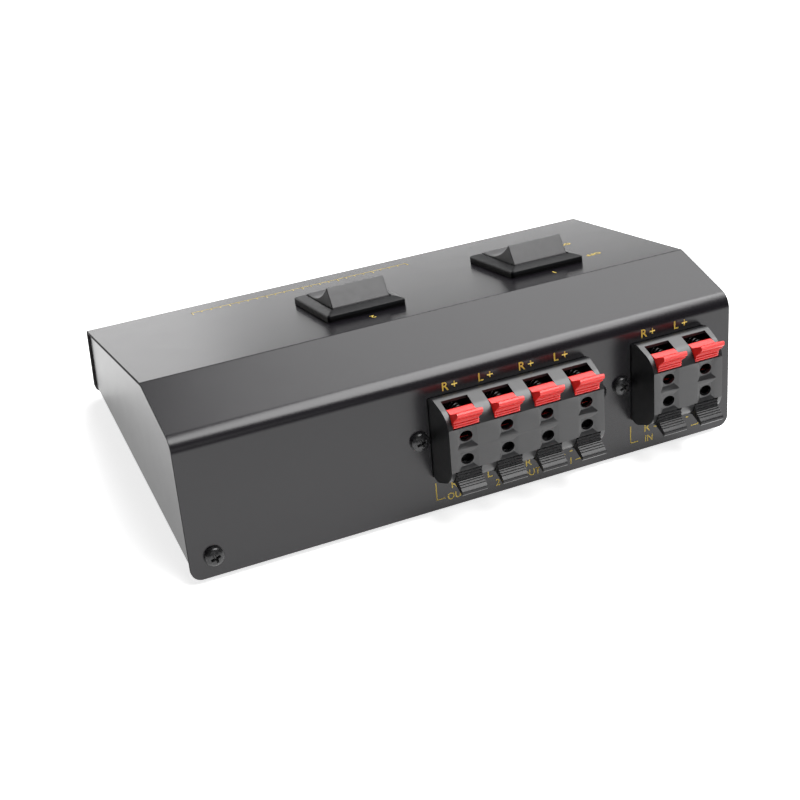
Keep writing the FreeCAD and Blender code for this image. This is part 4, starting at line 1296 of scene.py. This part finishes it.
@dataclass
class Print(SubAssembly):
    """Ink on the cover: signs over the terminals, brackets, plain numbers and a scale."""

    height: float = 2.55
    thickness: float = 0.03
    line: float = 0.3
    weight: float = 0.03
    capital: float = 0.72
    sign_spread: float = 2.9
    right_signs: Point = (5.45, 4.75)
    left_signs: Point = (-5.45, -6.45)
    plus_rise: float = 37.0
    minus_rise: float = 6.65
    groups: tuple[tuple[str, float, str], ...] = (("out_two", 1.0, "OUT"), ("out_one", -22.7, "OUT"),
                                                  ("in", -62.5, "IN"))
    numbers: tuple[tuple[str, str, float], ...] = (("two", "2", -6.5), ("one", "1", -30.4))
    word_shift: float = 5.5
    word_rise: float = 3.1
    word_height: float = 2.1
    number_run: float = 8.6
    number_height: float = 2.3
    state_reach: float = 18.9
    state_shift: float = 9.2
    bracket: tuple[Point, ...] = ((0.0, 5.3), (0.0, 0.0), (2.4, 0.0))
    bracket_reach: float = 11.8
    rule_run: float = 58.0
    rule_reach: Point = (-18.0, 54.0)
    rule_tick: float = 3.0
    rule_height: float = 2.4

    def on_panel(self, x: float, rise: float) -> Matrix:
        """Place on the terminal panel, for a print that is read from behind the box."""
        facing = Matrix(((-1.0, 0.0, 0.0, 0.0), (0.0, 0.0, 1.0, 0.0), (0.0, 1.0, 0.0, 0.0),
                         (0.0, 0.0, 0.0, 1.0)))
        return self.case.panel.at(x, 0.0, rise) @ facing

    def on_top(self, x: float, run: float) -> Matrix:
        """Place on the sloping top, for a print that is read from the front of the box."""
        return self.case.top.at(x, -run, 0.0)

    def lay(self, made: Piece, where: Matrix) -> None:
        """Place a print that was made level, looking up, and give it its ink."""
        place(made, where)
        self.shop.send(made, CASE_BODY, Coat.INK)

    def text(self, name: str, words: str, where: Matrix, height: float) -> None:
        """Print a sign.

        Args:
            name: Name of the piece.
            words: What it says.
            where: Place of its middle; it reads along X and up the panel's second axis.
            height: Height of a capital.
        """
        curve = bpy.data.curves.new(f"print_{name}", "FONT")
        curve.body = words
        curve.align_x = curve.align_y = "CENTER"
        curve.size = height / self.capital
        curve.extrude = self.thickness / 2.0
        curve.resolution_u = 4
        curve.offset = self.weight
        made = piece_from_curve(curve)
        made.data.transform(Matrix.Translation((0.0, 0.0, self.thickness / 2.0)))
        self.lay(made, where)

    def bar(self, x: Point, y: Point) -> Solid:
        """Line of ink between two points that lie along X or along Y."""
        half = self.line / 2.0
        return block((min(x) - half, max(x) + half), (min(y) - half, max(y) + half),
                     (0.0, self.thickness))

    def terminal_signs(self, name: str, group: float, words: str) -> None:
        """Print the signs around two columns of terminals.

        Args:
            name: Name of the pair of columns.
            group: X of the middle between them.
            words: The word below them.
        """
        half = self.sign_spread / 2.0 * MM
        for side, plus, minus in (("R", *self.right_signs), ("L", *self.left_signs)):
            for word, mark, shift, rise in (("plus", "+", plus, self.plus_rise),
                                            ("minus", "-", minus, self.minus_rise)):
                where = self.on_panel(group + shift, rise)
                for part, sign, beside in (("letter", side, -half), ("mark", mark, half)):
                    self.text(f"{name}_{side}_{word}_{part}", sign,
                              where @ Matrix.Translation((beside, 0.0, 0.0)), self.height)
        self.text(f"{name}_word", words, self.on_panel(group + self.word_shift, self.word_rise),
                  self.word_height)
        for side, way in (("left", 1.0), ("right", -1.0)):
            points = [(way * u, v) for u, v in self.bracket]
            bars = [self.bar(*zip(one, two)) for one, two in zip(points, points[1:])]
            self.lay(piece_from(f"print_{name}_bracket_{side}", bars),
                     self.on_panel(group + way * self.bracket_reach, self.word_rise))

    def rule(self) -> None:
        """Print a plain scale along the front edge of the top: a line with short ticks."""
        (low, high), half = self.rule_reach, self.line / 2.0
        bars = [self.bar((low, high), (0.0, 0.0))]
        for k in range(int((high - low) / self.rule_tick) + 1):
            spot, rise = low + k * self.rule_tick, self.rule_height * (1.0 if k % 4 == 0 else 0.6)
            bars.append(self.bar((spot, spot), (0.0, rise - half)))
        self.lay(piece_from("print_scale", bars), self.on_top(0.0, self.rule_run))

    def build(self, switches: Sequence[RockerSwitch]) -> None:
        """Print every sign, number and line.

        Args:
            switches: The two switches.
        """
        for group in self.groups:
            self.terminal_signs(*group)
        for name, number, x in self.numbers:
            self.text(f"out_{name}_number", number, self.on_panel(x, self.word_rise), self.word_height)
        for number, switch in zip("12", switches):
            self.text(f"rocker_{number}", number, self.on_top(switch.x, self.number_run),
                      self.number_height)
        first = switches[0]
        for word, way in (("OFF", -1.0), ("ON", 1.0)):
            where = self.on_top(first.x - self.state_reach, first.run + way * self.state_shift)
            self.text(word.lower(), word, where, self.word_height)
        self.rule()


# ---------------------------------------------------------------- studio

def look(thing: Piece, at: Vector, aim: Vector) -> None:
    """Stand a lamp or a camera at a point, looking at another."""
    thing.location = at
    thing.rotation_euler = (aim - at).to_track_quat("-Z", "Y").to_euler()


@dataclass(frozen=True)
class Softbox:
    """A soft rectangular lamp that looks at the box."""

    name: str
    at: Corner
    size: Point
    glow: float
    aim: Corner = (0.0, 0.0, 0.02)

    def hang(self) -> None:
        """Put the lamp in the scene, with a glow of 1 as bright as white paper."""
        data = bpy.data.lights.new(self.name, "AREA")
        data.shape = "RECTANGLE"
        data.size, data.size_y = self.size
        data.energy = math.pi * self.size[0] * self.size[1] * self.glow
        look(add_object(self.name, data), Vector(self.at), Vector(self.aim))


@dataclass
class Studio:
    """Plain white table under softboxes, in a dim room."""

    camera_at: Corner = (156.99, 335.83, 268.05)
    looks_at: Corner = (4.785, 5.662, 9.936)
    lens: float = 66.54
    floor_reach: float = 4.0
    room: float = 0.08
    floor_glow: float = 0.76
    lamps: tuple[Softbox, ...] = (
        Softbox("overhead", (-0.30, 0.12, 0.86), (0.90, 0.52), 8.6),
        Softbox("behind_right", (-0.57, -0.58, 0.76), (0.88, 0.68), 3.3),
        Softbox("backdrop_left", (0.06, -1.15, 0.20), (0.58, 0.38), 2.3),
        Softbox("front_left", (0.05, 1.05, 0.42), (0.7, 0.30), 0.8),
    )

    def camera(self) -> None:
        """Set up the camera."""
        data = bpy.data.cameras.new("camera")
        data.lens = self.lens
        data.sensor_width = 36.0
        data.clip_start = 0.01
        made = add_object("camera", data)
        look(made, Vector(self.camera_at) * MM, Vector(self.looks_at) * MM)
        bpy.context.scene.camera = made

    def world(self) -> None:
        """Surround the table with an even, dim room."""
        world = bpy.data.worlds.new("dim_room")
        bpy.context.scene.world = world
        world.use_nodes = True
        tree = world.node_tree
        tree.nodes.clear()
        output = tree.nodes.new("ShaderNodeOutputWorld")
        room = tree.nodes.new("ShaderNodeBackground")
        room.inputs["Color"].default_value = (1.0, 1.0, 1.0, 1.0)
        room.inputs["Strength"].default_value = self.room
        tree.links.new(room.outputs["Background"], output.inputs["Surface"])

    def floor(self) -> None:
        """Lay a white table that the camera and every gloss see as white, and that keeps the shadow."""
        mesh = bpy.data.meshes.new("floor")
        mesh.from_pydata([(x * self.floor_reach, y * self.floor_reach, 0.0) for x, y in SQUARE],
                         [], [(0, 1, 2, 3)])
        graph = Graph("white_table")
        white = graph.blend(graph.noise(Noise(900.0, 1.0)), (0.90, 0.90, 0.90), (0.92, 0.92, 0.92))
        graph.feed(graph.shader, Base_Color=white, Roughness=0.9, Specular_IOR_Level=0.0)
        path = graph.node("LightPath")
        seen = path.outputs["Is Camera Ray"]
        for ray in ("Is Glossy Ray", "Is Transmission Ray"):
            either = graph.node("Math")
            either.operation = "MAXIMUM"
            graph.join(seen, either.inputs[0])
            graph.join(path.outputs[ray], either.inputs[1])
            seen = either.outputs["Value"]
        plain = graph.shader.outputs["BSDF"]
        glow = graph.node("Emission", Strength=self.floor_glow).outputs["Emission"]
        both, mix = graph.node("AddShader"), graph.node("MixShader", Fac=seen)
        for start, end in ((plain, both.inputs[0]), (glow, both.inputs[1]), (plain, mix.inputs[1]),
                           (both.outputs["Shader"], mix.inputs[2]),
                           (mix.outputs["Shader"], graph.output.inputs["Surface"])):
            graph.join(start, end)
        mesh.materials.append(graph.material)
        add_object("floor", mesh)

    def build(self) -> None:
        """Set up the whole studio."""
        bpy.context.scene.view_settings.view_transform = "Standard"
        self.camera()
        self.world()
        self.floor()
        for lamp in self.lamps:
            lamp.hang()


# ---------------------------------------------------------------- assembly

@dataclass
class SelectorBox(SubAssembly):
    """The whole box, built from its sub-assemblies in order."""

    blocks: tuple[tuple[str, float, int], ...] = (("speaker", -11.45, 4), ("amplifier", -63.4, 2))
    switches: tuple[tuple[str, float], ...] = (("one", -45.4), ("two", 14.0))
    switch_run: float = 26.8
    cover_screw: Point = (78.15, 6.24)
    cover_screw_length: float = 6.0
    block_screw_length: float = 4.0
    screw_hole: float = 1.5

    def cover_screw_spots(self) -> list[Matrix]:
        """Places of the four screws that hold the cover."""
        (x, rise), sides = self.cover_screw, (1.0, -1.0)
        return ([self.case.panel.at(side * x, 0.0, rise) for side in sides]
                + [self.case.base.at(side * x, -self.case.depth, rise, 180.0) for side in sides])

    def build(self) -> None:
        """Build every sub-assembly and report each piece."""
        case, shop = self.case, self.shop
        blocks = [TerminalBlock(case, shop, *unit) for unit in self.blocks]
        switches = [RockerSwitch(case, shop, *unit, self.switch_run) for unit in self.switches]
        cover, ends = Cover(case, shop), self.cover_screw_spots()
        for spot in ends:
            cover.cut(drill(self.screw_hole), spot)
        for unit in blocks:
            unit.cut_cover(cover, self.screw_hole)
        for switch in switches:
            switch.cut_cover(cover)
        beside = [spot for unit in blocks for spot in unit.screw_spots()]
        for part in (cover, Chassis(case, shop),
                     ScrewSet("cover_pan_screws", "cover_screws", self.cover_screw_length, ends, shop),
                     ScrewSet("terminal_pan_screws", "terminal_screws", self.block_screw_length, beside,
                              shop),
                     *blocks, *switches):
            part.build()
        shop.coat_nodes({"speaker_leads": Coat.RED_JACKET, "supply_leads": Coat.RED_JACKET,
                         "link_leads": Coat.WHITE_JACKET, "return_leads": Coat.BLACK_JACKET})
        Print(case, shop).build(switches)
        for piece in shop.pieces:
            LOG.info("%s: %d faces", piece.name, len(piece.data.polygons))


def main() -> None:
    """Load the frame, dress the box and light it."""
    logging.basicConfig(level=logging.INFO, format="%(name)s: %(message)s")
    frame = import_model()
    SelectorBox(CaseSizes(), Shop(frame["nodes"])).build()
    Studio().build()


if __name__ == "__main__":
    main()
